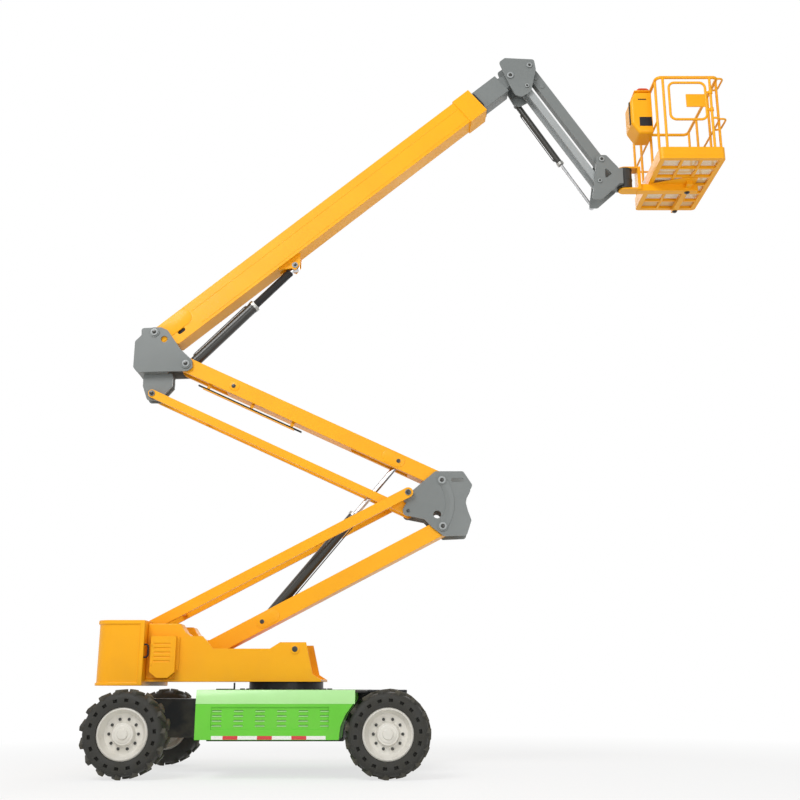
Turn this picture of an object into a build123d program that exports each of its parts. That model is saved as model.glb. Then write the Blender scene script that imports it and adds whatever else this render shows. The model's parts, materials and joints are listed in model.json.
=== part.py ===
"""Articulating boom lift on four lugged wheels, one STEP file for each piece.

Millimetres, +X towards the basket, +Z up. The origin is on the ground under the middle of the
part. Sizes below are measured from the slew axis, which stands at SLEW_X.
"""

import os
from math import atan2, cos, degrees, hypot, radians, sin

from build123d import *

os.makedirs("parts", exist_ok=True)

# Running clearances between pieces that move on each other
PIN_GAP = 0.35
SEAT_GAP = 0.4
SIDE_GAP = 8.0
TOUCH = 0.4

# Wheels
TYRE_OD = 855.0
TYRE_WIDTH = 315.0
LUG_DEPTH = 26.0
LUG_COUNT = 15
LUG_LENGTH = 134.0
LUG_WIDTH = 62.0
LUG_ANGLE = 32.0
SHOULDER = 42.0
RIM_RADIUS = 254.0
RIM_LIP = 20.0
HUB_RADIUS = 118.0
STUB_RADIUS = 72.0
OVERALL_WIDTH = 2260.0
STEER_AXLE_X = -1475.0
FIXED_AXLE_X = 1117.0
KINGPIN_INSET = 215.0

# Chassis
FRAME_HALF = 430.0
FRAME_BOTTOM = 330.0
FRAME_TOP = 690.0
DECK_TOP = 843.0
DECK_THICK = 24.0
DECK_FRONT = 900.0
COVER_LEFT = -770.0
COVER_RIGHT = 796.0
COVER_BOTTOM = 374.0
COVER_FOOT_SLANT = 159.0
COVER_WALL = 34.0
COVER_SHOULDER_Z = 720.0
COVER_SHOULDER = 34.0
AXLE_HALF_DEPTH = 75.0
EYE_Z = 620.0
EYE_THICK = 30.0
EYE_BORE = 28.0
EYE_RADIUS = 60.0
EYE_REACH = 62.0
EYE_SPREAD = 200.0

# Turntable
SLEW_RADIUS = 400.0
TABLE_BOTTOM = 925.0
TABLE_PLATE = 24.0
SIDE_PLATE_Y = 500.0
SIDE_PLATE_THICK = 14.0
BRACKET_Y = 232.0
BRACKET_THICK = 26.0
WEIGHT_BACK = -1953.0
WEIGHT_FRONT = -1428.0
WEIGHT_TOP = 1548.0
WEIGHT_BOTTOM = 884.0
WEIGHT_HALF = 640.0
WEIGHT_CORNER = 190.0
WEIGHT_LIP = 14.0
WEIGHT_LID = 42.0
WEIGHT_FOOT = 30.0
WEIGHT_FLANGE = 46.0

# Lower riser, seen in the pose of rest
LOWER_ANGLE = 27.7
LOWER_LENGTH = 3250.0
ELBOW_LOW = (1711.0, 2601.0)
ARM_HALF_DEPTH = 88.0
ARM_HALF_WIDTH = 135.0
ARM_WALL = 8.0
LINK_OFFSET = (-386.0, 374.0)
LINK_HALF_DEPTH = 56.0
LINK_IN = 176.0
LINK_OUT = 218.0
RISER_BASE_ALONG = 1011.0

# Elbow and upper riser
PLATE_IN = 145.0
PLATE_OUT = 167.0
UPPER_ANGLE = 24.9
UPPER_LENGTH = 3264.0
ELBOW_UP = (1706.0, 3121.0)
UPPER_LINK_OFFSET = (-382.0, -346.0)
UPPER_LINK_HALF_DEPTH = 46.0
UPPER_LINK_IN = 84.0
UPPER_LINK_OUT = 128.0
RISER_EYE_ALONG = 540.0
RISER_RADIUS = 60.0
RISER_ROD = 30.0
RISER_EYE = 38.0
PIN_RADIUS = 34.0
UPPER_LINK_PIN = 26.0
RISER_RAM_PIN = 26.0
BOSS_RADIUS = 58.0
BOSS_THICK = 10.0
PLATE_BEND = 34.0

# Boom
BOOM_PIVOT = (-1642.0, 4881.0)
BOOM_ANGLE = 40.0
BOOM_DROP = 117.0
BOOM_HALF_DEPTH = 166.0
BOOM_HALF_WIDTH = 135.0
BOOM_WALL = 8.0
BOOM_REAR = -120.0
BOOM_TIP = 4920.0
WEAR_PAD = 70.0
FLY_HALF_DEPTH = 134.0
FLY_HALF_WIDTH = 104.0
FLY_REAR = 700.0
FLY_TIP = 5330.0
LEVEL_ALONG = 5470.0
LUG_ALONG = 1804.0
LUG_DROP = 362.0
BOOM_CYL_RADIUS = 64.0
BOOM_CYL_BORE = 50.0
BOOM_ROD_RADIUS = 32.0
BOOT_RADIUS = 43.0
BOOM_RAM_PIN = 28.0
BOOM_COLLAR = 260.0
BOOM_COLLAR_THICK = 14.0

# Jib
JIB_BEAM_BASE = (2868.0, 8452.0)
JIB_REACH = (848.0, -1312.0)
JIB_LINK_OFFSET = (-38.0, -292.0)
JIB_BEAM_HALF = 52.0
JIB_BEAM_DEPTH = 66.0
JIB_LINK_IN = 64.0
JIB_LINK_OUT = 88.0
JIB_LINK_DEPTH = 42.0
JIB_LINK_PIN = 18.0
JIB_PLATE_IN = 112.0
JIB_PLATE_OUT = 130.0
JIB_CYL_LANE = 182.0
JIB_CYL_BASE = (2735.0, 8073.0)
JIB_CYL_EYE = (3628.0, 6652.0)
JIB_CYL_RADIUS = 38.0
JIB_CYL_BORE = 29.0
JIB_ROD_RADIUS = 20.0
JIB_PIN = 26.0
JIB_RAM_PIN = 20.0

# Basket
ROTATOR_X = 4010.0
ROTATOR_RADIUS = 92.0
ROTATOR_BOTTOM = 6790.0
ROTATOR_TOP = 7050.0
FLOOR_Z = 6850.0
BASKET_BACK = 4290.0
BASKET_FRONT = 5060.0
BASKET_HALF = 700.0
RAIL_RADIUS = 19.0
POST_RADIUS = 16.0
MID_RADIUS = 13.0
RAIL_BEND = 60.0
RAIL_HEIGHT = 1080.0
MID_RAIL_HEIGHT = 540.0
TOE_HEIGHT = 150.0
TOE_WALL = 5.0
FLOOR_DEPTH = 40.0
FLOOR_CORNER = 45.0
FLOOR_EDGE = 46.0
FLOOR_RIB = 30.0
FLOOR_COLUMNS = 3
FLOOR_ROWS = 6
MESH_THICK = 5.0
MESH_PITCH = 60.0
MESH_STRAND = 12.0
MESH_STRIP = 150.0
GUARD_RADIUS = 15.0
GUARD_HEIGHT = 1160.0


# Place of the slew axis, so that the origin lies halfway between tail and basket
SLEW_X = -(WEIGHT_BACK + BASKET_FRONT) / 2


def turned(angle, length):
    """Horizontal and vertical run of a length at an angle in degrees."""
    return (length * cos(radians(angle)), length * sin(radians(angle)))


def shifted(point, step):
    """Point moved by a step, both as (x, z)."""
    return (point[0] + step[0], point[1] + step[1])


def side_plane(point=(0.0, 0.0), angle=0.0):
    """Upright plane through a point (x, z), its x along the angle and its normal to -Y."""
    run = turned(angle, 1.0)
    corner = (SLEW_X + point[0], 0, point[1])
    return Plane(origin=corner, x_dir=(run[0], 0, run[1]), z_dir=(0, -1, 0))


def level_plane(z):
    """Level plane at a height, with the slew axis at its origin."""
    return Plane(origin=(SLEW_X, 0, z))


def slab(plane, points, y_from, y_to, mode=Mode.ADD):
    """Polygon on a side plane, filled from one Y to another."""
    with BuildSketch(plane.offset(-y_to), mode=Mode.PRIVATE) as outline:
        with BuildLine():
            Polyline(*points, close=True)
        make_face()
    extrude(outline.sketch, amount=y_to - y_from, mode=mode)


def panel(plane, points, bend, y_from, y_to, mode=Mode.ADD):
    """Polygon with rounded corners on a side plane, filled from one Y to another."""
    with BuildSketch(plane.offset(-y_to), mode=Mode.PRIVATE) as outline:
        with BuildLine():
            FilletPolyline(*points, radius=bend, close=True)
        make_face()
    extrude(outline.sketch, amount=y_to - y_from, mode=mode)


def cross_slab(x_from, x_to, points, mode=Mode.ADD):
    """Polygon of (y, z) points, filled from one X to another."""
    end = Plane(origin=(SLEW_X + x_from, 0, 0), x_dir=(0, 1, 0), z_dir=(1, 0, 0))
    with BuildSketch(end, mode=Mode.PRIVATE) as outline:
        with BuildLine():
            Polyline(*points, close=True)
        make_face()
    extrude(outline.sketch, amount=x_to - x_from, mode=mode)


def bar(plane, x_from, x_to, low, high, y_from, y_to, mode=Mode.ADD):
    """Rectangular block on a side plane."""
    corners = [(x_from, low), (x_to, low), (x_to, high), (x_from, high)]
    slab(plane, corners, y_from, y_to, mode)


def disc(plane, x, z, radius, y_from, y_to, mode=Mode.ADD):
    """Round boss, pin or hole that runs along Y."""
    with BuildSketch(plane.offset(-y_to), mode=Mode.PRIVATE) as outline:
        with Locations((x, z)):
            Circle(radius)
    extrude(outline.sketch, amount=y_to - y_from, mode=mode)


def both_sides(shape, *where, y_in, y_out, mode=Mode.ADD):
    """The same shape in the near lane and in the far one."""
    shape(*where, -y_out, -y_in, mode)
    shape(*where, y_in, y_out, mode)


def tube(points, radius, bend, mode=Mode.ADD):
    """Round tube along a path with rounded corners."""
    places = [(SLEW_X + x, y, z) for x, y, z in points]
    with BuildLine(mode=Mode.PRIVATE) as path:
        if len(points) == 2:
            Line(*places)
        else:
            FilletPolyline(*places, radius=bend)
    start = Plane(origin=path.line @ 0, z_dir=path.line % 0)
    with BuildSketch(start, mode=Mode.PRIVATE) as ring:
        Circle(radius)
    sweep(ring.sketch, path=path.line, mode=mode)


def round_rod(plane, x_from, x_to, radius, y=0.0, mode=Mode.ADD):
    """Round bar along the x of a side plane."""
    across = Plane(origin=plane.from_local_coords((x_from, 0, -y)), z_dir=plane.x_dir)
    with BuildSketch(across, mode=Mode.PRIVATE) as ring:
        Circle(radius)
    extrude(ring.sketch, amount=x_to - x_from, mode=mode)


def save(build, name):
    """Name the piece and write its STEP file."""
    build.part.label = name
    export_step(build.part, f"parts/{name}.step")


# Lugs: flat tops whose corners reach the outer diameter; two of them meet the ground
CROWN = TYRE_OD / 2 - LUG_DEPTH
LUG_ROOT = CROWN - 40
LUG_PITCH = 360 / LUG_COUNT
TYRE_FACETS = 2 * LUG_COUNT
SHOULDER_EDGE = 1.5 * RIM_RADIUS * sin(radians(LUG_PITCH / 2))
LUG_RUN = (LUG_LENGTH * sin(radians(LUG_ANGLE)) + LUG_WIDTH * cos(radians(LUG_ANGLE))) / 2
LUG_TOP = (TYRE_OD**2 / 4 - LUG_RUN**2) ** 0.5
LUG_MIDDLE = TYRE_WIDTH / 4 - 2
WHEEL_Z = LUG_TOP * cos(radians(LUG_PITCH / 4)) + LUG_RUN * sin(radians(LUG_PITCH / 4))
WHEEL_Y = OVERALL_WIDTH / 2 - TYRE_WIDTH / 2
HALF_TREAD = TYRE_WIDTH / 2
KINGPIN_Y = WHEEL_Y - KINGPIN_INSET
FLAT = side_plane()

# Places of the pins, in the pose of rest
TABLE_ARM = shifted(ELBOW_LOW, turned(LOWER_ANGLE + 180, LOWER_LENGTH))
TABLE_LINK = shifted(TABLE_ARM, LINK_OFFSET)
MAST_ARM = shifted(ELBOW_UP, turned(180 - UPPER_ANGLE, UPPER_LENGTH))
MAST_LINK = shifted(MAST_ARM, UPPER_LINK_OFFSET)
LOWER_PLANE = side_plane(TABLE_ARM, LOWER_ANGLE)
LOWER_LINK_PLANE = side_plane(TABLE_LINK, LOWER_ANGLE)
UPPER_PLANE = side_plane(MAST_ARM, -UPPER_ANGLE)
UPPER_LINK_PLANE = side_plane(MAST_LINK, -UPPER_ANGLE)
RISER_BASE = shifted(TABLE_ARM, turned(LOWER_ANGLE, RISER_BASE_ALONG))
RISER_TOP = shifted(ELBOW_UP, turned(180 - UPPER_ANGLE, RISER_EYE_ALONG))
RISER_RUN = (RISER_TOP[0] - RISER_BASE[0], RISER_TOP[1] - RISER_BASE[1])
RISER_SPAN = hypot(*RISER_RUN)
RISER_PLANE = side_plane(RISER_BASE, degrees(atan2(RISER_RUN[1], RISER_RUN[0])))
BOOM_PLANE = side_plane(BOOM_PIVOT, BOOM_ANGLE)
BOOM_LUG_RUN = hypot(LUG_ALONG, LUG_DROP)
BOOM_LUG = shifted(BOOM_PIVOT, turned(BOOM_ANGLE - degrees(atan2(LUG_DROP, LUG_ALONG)), BOOM_LUG_RUN))
BOOM_CYL_RUN = (BOOM_LUG[0] - MAST_ARM[0], BOOM_LUG[1] - MAST_ARM[1])
BOOM_CYL_SPAN = hypot(*BOOM_CYL_RUN)
BOOM_CYL_PLANE = side_plane(MAST_ARM, degrees(atan2(BOOM_CYL_RUN[1], BOOM_CYL_RUN[0])))
LEVEL_RUN = hypot(LEVEL_ALONG, BOOM_DROP)
LEVEL_PIN = shifted(BOOM_PIVOT, turned(BOOM_ANGLE - degrees(atan2(BOOM_DROP, LEVEL_ALONG)), LEVEL_RUN))
JIB_ANGLE = degrees(atan2(JIB_REACH[1], JIB_REACH[0]))
JIB_LENGTH = hypot(*JIB_REACH)
JIB_LINK_BASE = shifted(JIB_BEAM_BASE, JIB_LINK_OFFSET)
JIB_BEAM_END = shifted(JIB_BEAM_BASE, JIB_REACH)
JIB_LINK_END = shifted(JIB_LINK_BASE, JIB_REACH)
JIB_PLANE = side_plane(JIB_BEAM_BASE, JIB_ANGLE)
JIB_LINK_PLANE = side_plane(JIB_LINK_BASE, JIB_ANGLE)
JIB_CYL_RUN = (JIB_CYL_EYE[0] - JIB_CYL_BASE[0], JIB_CYL_EYE[1] - JIB_CYL_BASE[1])
JIB_CYL_SPAN = hypot(*JIB_CYL_RUN)
JIB_CYL_PLANE = side_plane(JIB_CYL_BASE, degrees(atan2(JIB_CYL_RUN[1], JIB_CYL_RUN[0])))

# Tyres and rims, one pair of files for each wheel
WHEELS = {
    "steer_near": (STEER_AXLE_X, -1),
    "steer_far": (STEER_AXLE_X, 1),
    "fixed_near": (FIXED_AXLE_X, -1),
    "fixed_far": (FIXED_AXLE_X, 1),
}

for wheel_name, (wheel_x, side) in WHEELS.items():
    hub = (SLEW_X + wheel_x, side * WHEEL_Y, WHEEL_Z)
    spin_axis = Axis(hub, (0, side, 0))
    profile_plane = Plane(origin=hub, x_dir=(0, side, 0), z_dir=(1, 0, 0))

    with BuildPart() as tyre:
        inner_face = Plane(
            origin=(hub[0], side * (WHEEL_Y - HALF_TREAD), hub[2]), x_dir=(1, 0, 0), z_dir=(0, side, 0)
        )
        with BuildSketch(inner_face):
            RegularPolygon(CROWN, TYRE_FACETS)
            RegularPolygon(RIM_RADIUS, TYRE_FACETS, major_radius=False, mode=Mode.SUBTRACT)
        extrude(amount=TYRE_WIDTH)
        sidewalls = tyre.faces().filter_by(Axis.Y)
        chamfer(sidewalls.edges().filter_by(lambda edge: edge.length > SHOULDER_EDGE), SHOULDER)
        for row in (-1, 1):
            for step in range(LUG_COUNT):
                turn = 270 + (step + 0.25 * row) * LUG_PITCH
                out_x, out_z = turned(turn, 1.0)
                lug_plane = Plane(
                    origin=(
                        hub[0] + out_x * LUG_ROOT,
                        hub[1] + row * LUG_MIDDLE,
                        hub[2] + out_z * LUG_ROOT,
                    ),
                    x_dir=(0, 1, 0),
                    z_dir=(out_x, 0, out_z),
                )
                with BuildSketch(lug_plane):
                    Rectangle(LUG_LENGTH, LUG_WIDTH, rotation=row * LUG_ANGLE)
                extrude(amount=LUG_TOP - LUG_ROOT)
    save(tyre, f"tyre_{wheel_name}")

    with BuildPart() as rim:
        with BuildSketch(profile_plane):
            with BuildLine():
                Polyline(
                    (-HALF_TREAD + 30, 0),
                    (-HALF_TREAD + 30, -side * STUB_RADIUS),
                    (40, -side * (STUB_RADIUS + 20)),
                    (40, -side * (RIM_RADIUS - 70)),
                    (-HALF_TREAD + 30, -side * (RIM_RADIUS - 26)),
                    (-HALF_TREAD + 30, -side * (RIM_RADIUS - TOUCH)),
                    (HALF_TREAD - 26, -side * (RIM_RADIUS - TOUCH)),
                    (HALF_TREAD - 14, -side * (RIM_RADIUS - RIM_LIP)),
                    (HALF_TREAD - 60, -side * (RIM_RADIUS - RIM_LIP - 20)),
                    (62, -side * (RIM_RADIUS - 62)),
                    (62, -side * HUB_RADIUS),
                    (112, -side * (HUB_RADIUS - 14)),
                    (112, -side * 58),
                    (132, -side * 48),
                    (132, 0),
                    close=True,
                )
            make_face()
        revolve(axis=spin_axis)
    save(rim, f"rim_{wheel_name}")

# Chassis: a welded box frame with raised ends that carry the axles
FRAME_REAR = STEER_AXLE_X - 190
FRAME_FRONT = FIXED_AXLE_X + 190
NECK_HALF = 300.0
with BuildPart() as chassis_frame:
    bar(FLAT, COVER_LEFT, FIXED_AXLE_X - 470, FRAME_BOTTOM, FRAME_TOP, -FRAME_HALF, FRAME_HALF)
    bar(FLAT, FRAME_REAR, COVER_LEFT, 530, FRAME_TOP + 60, -NECK_HALF, NECK_HALF)
    bar(FLAT, FIXED_AXLE_X - 470, FRAME_FRONT, 530, FRAME_TOP + 60, -NECK_HALF, NECK_HALF)
    bar(FLAT, STEER_AXLE_X + 60, COVER_LEFT, 360, 530 + 20, -NECK_HALF, NECK_HALF)
    with Locations((SLEW_X, 0, FRAME_TOP)):
        Cylinder(
            SLEW_RADIUS + 30,
            DECK_TOP - DECK_THICK - FRAME_TOP - TOUCH,
            align=(Align.CENTER, Align.CENTER, Align.MIN),
        )
    with BuildSketch(level_plane(EYE_Z - EYE_THICK / 2)):
        for end_x in (FRAME_REAR - EYE_REACH, FRAME_FRONT + EYE_REACH):
            for eye_y in (-EYE_SPREAD, EYE_SPREAD):
                with Locations((end_x, eye_y)):
                    Circle(EYE_RADIUS)
                with Locations(((end_x + (FRAME_REAR if end_x < 0 else FRAME_FRONT)) / 2, eye_y)):
                    Rectangle(EYE_REACH + 2, 2 * EYE_RADIUS)
                with Locations((end_x, eye_y)):
                    Circle(EYE_BORE, mode=Mode.SUBTRACT)
    extrude(amount=EYE_THICK)
save(chassis_frame, "chassis_frame")

with BuildPart() as deck:
    with BuildSketch(level_plane(DECK_TOP - DECK_THICK)):
        with BuildLine():
            Polyline(
                (COVER_LEFT, -OVERALL_WIDTH / 2 + 40),
                (DECK_FRONT, -OVERALL_WIDTH / 2 + 40),
                (DECK_FRONT, -NECK_HALF - 220),
                (FRAME_FRONT, -NECK_HALF - 220),
                (FRAME_FRONT, NECK_HALF + 220),
                (DECK_FRONT, NECK_HALF + 220),
                (DECK_FRONT, OVERALL_WIDTH / 2 - 40),
                (COVER_LEFT, OVERALL_WIDTH / 2 - 40),
                close=True,
            )
        make_face()
    extrude(amount=DECK_THICK)
    bar(FLAT, COVER_LEFT, FRAME_FRONT, FRAME_TOP + 60 + TOUCH, DECK_TOP - DECK_THICK, -280, -250)
    bar(FLAT, COVER_LEFT, FRAME_FRONT, FRAME_TOP + 60 + TOUCH, DECK_TOP - DECK_THICK, 250, 280)
    with Locations((SLEW_X, 0, FRAME_TOP)):
        Cylinder(
            SLEW_RADIUS + 60,
            DECK_TOP - FRAME_TOP,
            align=(Align.CENTER, Align.CENTER, Align.MIN),
            mode=Mode.SUBTRACT,
        )
save(deck, "deck")

# Side covers: shells round the battery bays, with a pressed panel of louvres
COVER_OUTER = OVERALL_WIDTH / 2 - 20
COVER_INNER = FRAME_HALF + TOUCH
BAY_LEFT = COVER_LEFT + COVER_WALL
BAY_RIGHT = COVER_RIGHT - COVER_FOOT_SLANT - COVER_WALL
BAY_ROOM = 40.0
COVER_LID = DECK_TOP - DECK_THICK - TOUCH
for cover_name, side in (("cover_near", -1), ("cover_far", 1)):
    outer_y = side * COVER_OUTER
    inner_y = side * COVER_INNER
    y_low = min(outer_y, inner_y)
    y_high = max(outer_y, inner_y)
    with BuildPart() as cover:
        outline = [
            (COVER_LEFT, COVER_BOTTOM),
            (COVER_RIGHT - COVER_FOOT_SLANT, COVER_BOTTOM),
            (652, 500),
            (700, 610),
            (780, 720),
            (COVER_RIGHT, 750),
            (COVER_RIGHT, COVER_LID),
            (COVER_LEFT, COVER_LID),
        ]
        slab(FLAT, outline, y_low, y_high)
        bay_y = outer_y - side * COVER_WALL
        bar(
            FLAT,
            BAY_LEFT,
            BAY_RIGHT,
            COVER_BOTTOM + COVER_WALL,
            COVER_LID - COVER_WALL,
            min(bay_y, inner_y),
            max(bay_y, inner_y),
            Mode.SUBTRACT,
        )
        shoulder = [
            (outer_y, COVER_SHOULDER_Z),
            (outer_y, COVER_LID),
            (outer_y - side * COVER_SHOULDER, COVER_LID),
        ]
        cross_slab(COVER_LEFT, COVER_RIGHT, shoulder, Mode.SUBTRACT)
        panel_y = outer_y - side * 12
        bar(FLAT, -617, 536, 467, 682, min(panel_y, outer_y), max(panel_y, outer_y), Mode.SUBTRACT)
        for column in range(6):
            for row in range(4):
                slot_x = -560 + column * 212
                slot_z = 505 + row * 46
                bar(
                    FLAT,
                    slot_x - 45,
                    slot_x + 45,
                    slot_z - 9,
                    slot_z + 9,
                    min(panel_y, bay_y),
                    max(panel_y, bay_y),
                    Mode.SUBTRACT,
                )
    save(cover, cover_name)

with BuildPart() as slew_ring:
    with Locations((SLEW_X, 0, DECK_TOP - DECK_THICK)):
        Cylinder(
            SLEW_RADIUS,
            TABLE_BOTTOM - SEAT_GAP - DECK_TOP + DECK_THICK,
            align=(Align.CENTER, Align.CENTER, Align.MIN),
        )
save(slew_ring, "slew_ring")

# Axles
AXLE_TOP = 530.0
AXLE_END = WHEEL_Y - HALF_TREAD + 30 - SEAT_GAP
with BuildPart() as fixed_axle:
    axle = side_plane((FIXED_AXLE_X, WHEEL_Z))
    bar(axle, -95, 95, -80, AXLE_TOP - TOUCH - WHEEL_Z, -NECK_HALF, NECK_HALF)
    disc(axle, 0, 0, AXLE_HALF_DEPTH, -AXLE_END, AXLE_END)
    for axle_side in (-1, 1):
        drive_in = axle_side * (NECK_HALF + 130)
        drive_out = axle_side * (WHEEL_Y - HALF_TREAD - 30)
        disc(axle, 0, 0, 150, min(drive_in, drive_out), max(drive_in, drive_out))
save(fixed_axle, "fixed_axle")

KNUCKLE_IN = KINGPIN_Y - 70
with BuildPart() as steer_axle:
    axle = side_plane((STEER_AXLE_X, WHEEL_Z))
    bar(axle, -95, 60 - TOUCH, -80, AXLE_TOP - TOUCH - WHEEL_Z, -NECK_HALF, NECK_HALF)
    bar(axle, -85, 60 - TOUCH, -70, 70, -KNUCKLE_IN, KNUCKLE_IN)
    for axle_side in (-1, 1):
        yoke_y = axle_side * KINGPIN_Y
        y_low = min(axle_side * (KNUCKLE_IN - 60), yoke_y + axle_side * 50)
        y_high = max(axle_side * (KNUCKLE_IN - 60), yoke_y + axle_side * 50)
        bar(axle, -60, 60 - TOUCH, 80, 120, y_low, y_high)
        bar(axle, -60, 60 - TOUCH, -120, -80, y_low, y_high)
        web_low = min(axle_side * (KNUCKLE_IN - 60), axle_side * KNUCKLE_IN)
        bar(axle, -60, 60 - TOUCH, -120, 120, web_low, web_low + 60)
save(steer_axle, "steer_axle")

for knuckle_name, side in (("knuckle_near", -1), ("knuckle_far", 1)):
    with BuildPart() as knuckle:
        axle = side_plane((STEER_AXLE_X, WHEEL_Z))
        with Locations((SLEW_X + STEER_AXLE_X, side * KINGPIN_Y, WHEEL_Z)):
            Cylinder(50, 160 - 2 * SEAT_GAP)
        stub_out = side * AXLE_END
        stub_in = side * (KINGPIN_Y + 20)
        disc(axle, 0, 0, 60, min(stub_in, stub_out), max(stub_in, stub_out))
    save(knuckle, knuckle_name)

with BuildPart() as battery:
    both_sides(
        bar,
        FLAT,
        BAY_LEFT + BAY_ROOM,
        BAY_RIGHT - BAY_ROOM,
        COVER_BOTTOM + COVER_WALL + TOUCH,
        COVER_LID - COVER_WALL - BAY_ROOM,
        y_in=COVER_INNER + BAY_ROOM,
        y_out=COVER_OUTER - COVER_WALL - BAY_ROOM,
    )
save(battery, "battery")

# Turntable: base plate, tall side plates and the two brackets that hold the lower riser
BRACKET_OUT = BRACKET_Y + BRACKET_THICK
with BuildPart() as turntable:
    with BuildSketch(level_plane(TABLE_BOTTOM)):
        with BuildLine():
            Polyline(
                (WEIGHT_FRONT + TOUCH, -SIDE_PLATE_Y),
                (410, -SIDE_PLATE_Y),
                (410, SIDE_PLATE_Y),
                (WEIGHT_FRONT + TOUCH, SIDE_PLATE_Y),
                close=True,
            )
        make_face()
    extrude(amount=TABLE_PLATE)
    plate = [
        (-1118, TABLE_BOTTOM),
        (410, TABLE_BOTTOM),
        (410, 946),
        (321, 1002),
        (246, 1327),
        (-28, 1327),
        (-134, 1261),
        (-729, 1261),
        (-843, 1389),
        (-1118, 1389),
    ]
    both_sides(slab, FLAT, plate, y_in=SIDE_PLATE_Y - SIDE_PLATE_THICK, y_out=SIDE_PLATE_Y)
    bracket = [
        (WEIGHT_FRONT + TOUCH, TABLE_BOTTOM),
        (-700, TABLE_BOTTOM),
        (TABLE_ARM[0] + 110, TABLE_ARM[1] + 60),
        (TABLE_LINK[0] + 110, TABLE_LINK[1] + 76),
        (TABLE_LINK[0] - 70, TABLE_LINK[1] + 76),
        (TABLE_LINK[0] - 90, TABLE_LINK[1] - 60),
        (WEIGHT_FRONT + TOUCH, TABLE_LINK[1] - 300),
    ]
    both_sides(slab, FLAT, bracket, y_in=BRACKET_Y, y_out=BRACKET_OUT)
    disc(FLAT, *TABLE_ARM, PIN_RADIUS, -BRACKET_OUT, BRACKET_OUT)
    disc(FLAT, *TABLE_LINK, PIN_RADIUS, -BRACKET_OUT, BRACKET_OUT)
save(turntable, "turntable")

SLOT_HALF = BRACKET_OUT + TOUCH


def weight_layer(inset, low, high):
    """Layer of the counterweight between two heights, set in from its outer edge."""
    with BuildSketch(level_plane(low), mode=Mode.PRIVATE) as footprint:
        with BuildLine():
            Polyline(
                (WEIGHT_FRONT, -WEIGHT_HALF + inset),
                (WEIGHT_FRONT, WEIGHT_HALF - inset),
                (WEIGHT_BACK + inset, WEIGHT_HALF - inset),
                (WEIGHT_BACK + inset, -WEIGHT_HALF + inset),
                close=True,
            )
        make_face()
        fillet(footprint.vertices().sort_by(Axis.X)[:2], WEIGHT_CORNER - inset)
    extrude(footprint.sketch, amount=high - low)


# Counterweight: a casting with a lid, a foot and a bolted flange that stand proud of it
with BuildPart() as counterweight:
    weight_layer(WEIGHT_LIP, WEIGHT_BOTTOM, WEIGHT_TOP)
    weight_layer(0, WEIGHT_TOP - WEIGHT_LID, WEIGHT_TOP)
    weight_layer(0, WEIGHT_BOTTOM, WEIGHT_BOTTOM + WEIGHT_FOOT)
    flange_x = (WEIGHT_FRONT - WEIGHT_FLANGE, WEIGHT_FRONT)
    bar(FLAT, *flange_x, WEIGHT_BOTTOM, WEIGHT_TOP, -WEIGHT_HALF, WEIGHT_HALF)
    bar(
        FLAT,
        TABLE_LINK[0] - 160,
        WEIGHT_FRONT,
        TABLE_LINK[1] - 300,
        WEIGHT_TOP,
        -SLOT_HALF,
        SLOT_HALF,
        Mode.SUBTRACT,
    )
save(counterweight, "counterweight")

for hood_name, side in (("hood_near", -1), ("hood_far", 1)):
    hood_in = side * (BRACKET_OUT + TOUCH)
    hood_out = side * (SIDE_PLATE_Y - SIDE_PLATE_THICK - TOUCH)
    with BuildPart() as hood:
        hood_side = [
            (WEIGHT_FRONT + 2 * TOUCH, TABLE_BOTTOM + TABLE_PLATE + TOUCH),
            (200, TABLE_BOTTOM + TABLE_PLATE + TOUCH),
            (140, 1240),
            (-760, 1240),
            (-1030, 1430),
            (-1090, 1520),
            (WEIGHT_FRONT + 2 * TOUCH, 1520),
        ]
        slab(FLAT, hood_side, min(hood_in, hood_out), max(hood_in, hood_out))
    save(hood, hood_name)

with BuildPart() as control_box:
    box_side = [(-1368, 1386), (-1368, 1021), (-1290, 961), (-1178, 961), (-1105, 1021), (-1105, 1386)]
    slab(FLAT, box_side, -SIDE_PLATE_Y - 90, -SIDE_PLATE_Y - TOUCH)
    bar(FLAT, -1140, -1080, 1040, 1380, -SIDE_PLATE_Y - 20, -SIDE_PLATE_Y - TOUCH)
    for row in range(5):
        louvre_z = 1130 + row * 44
        louvre = (-1330, -1160, louvre_z - 8, louvre_z + 8)
        bar(FLAT, *louvre, -SIDE_PLATE_Y - 90, -SIDE_PLATE_Y - 82, Mode.SUBTRACT)
save(control_box, "control_box")

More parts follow.
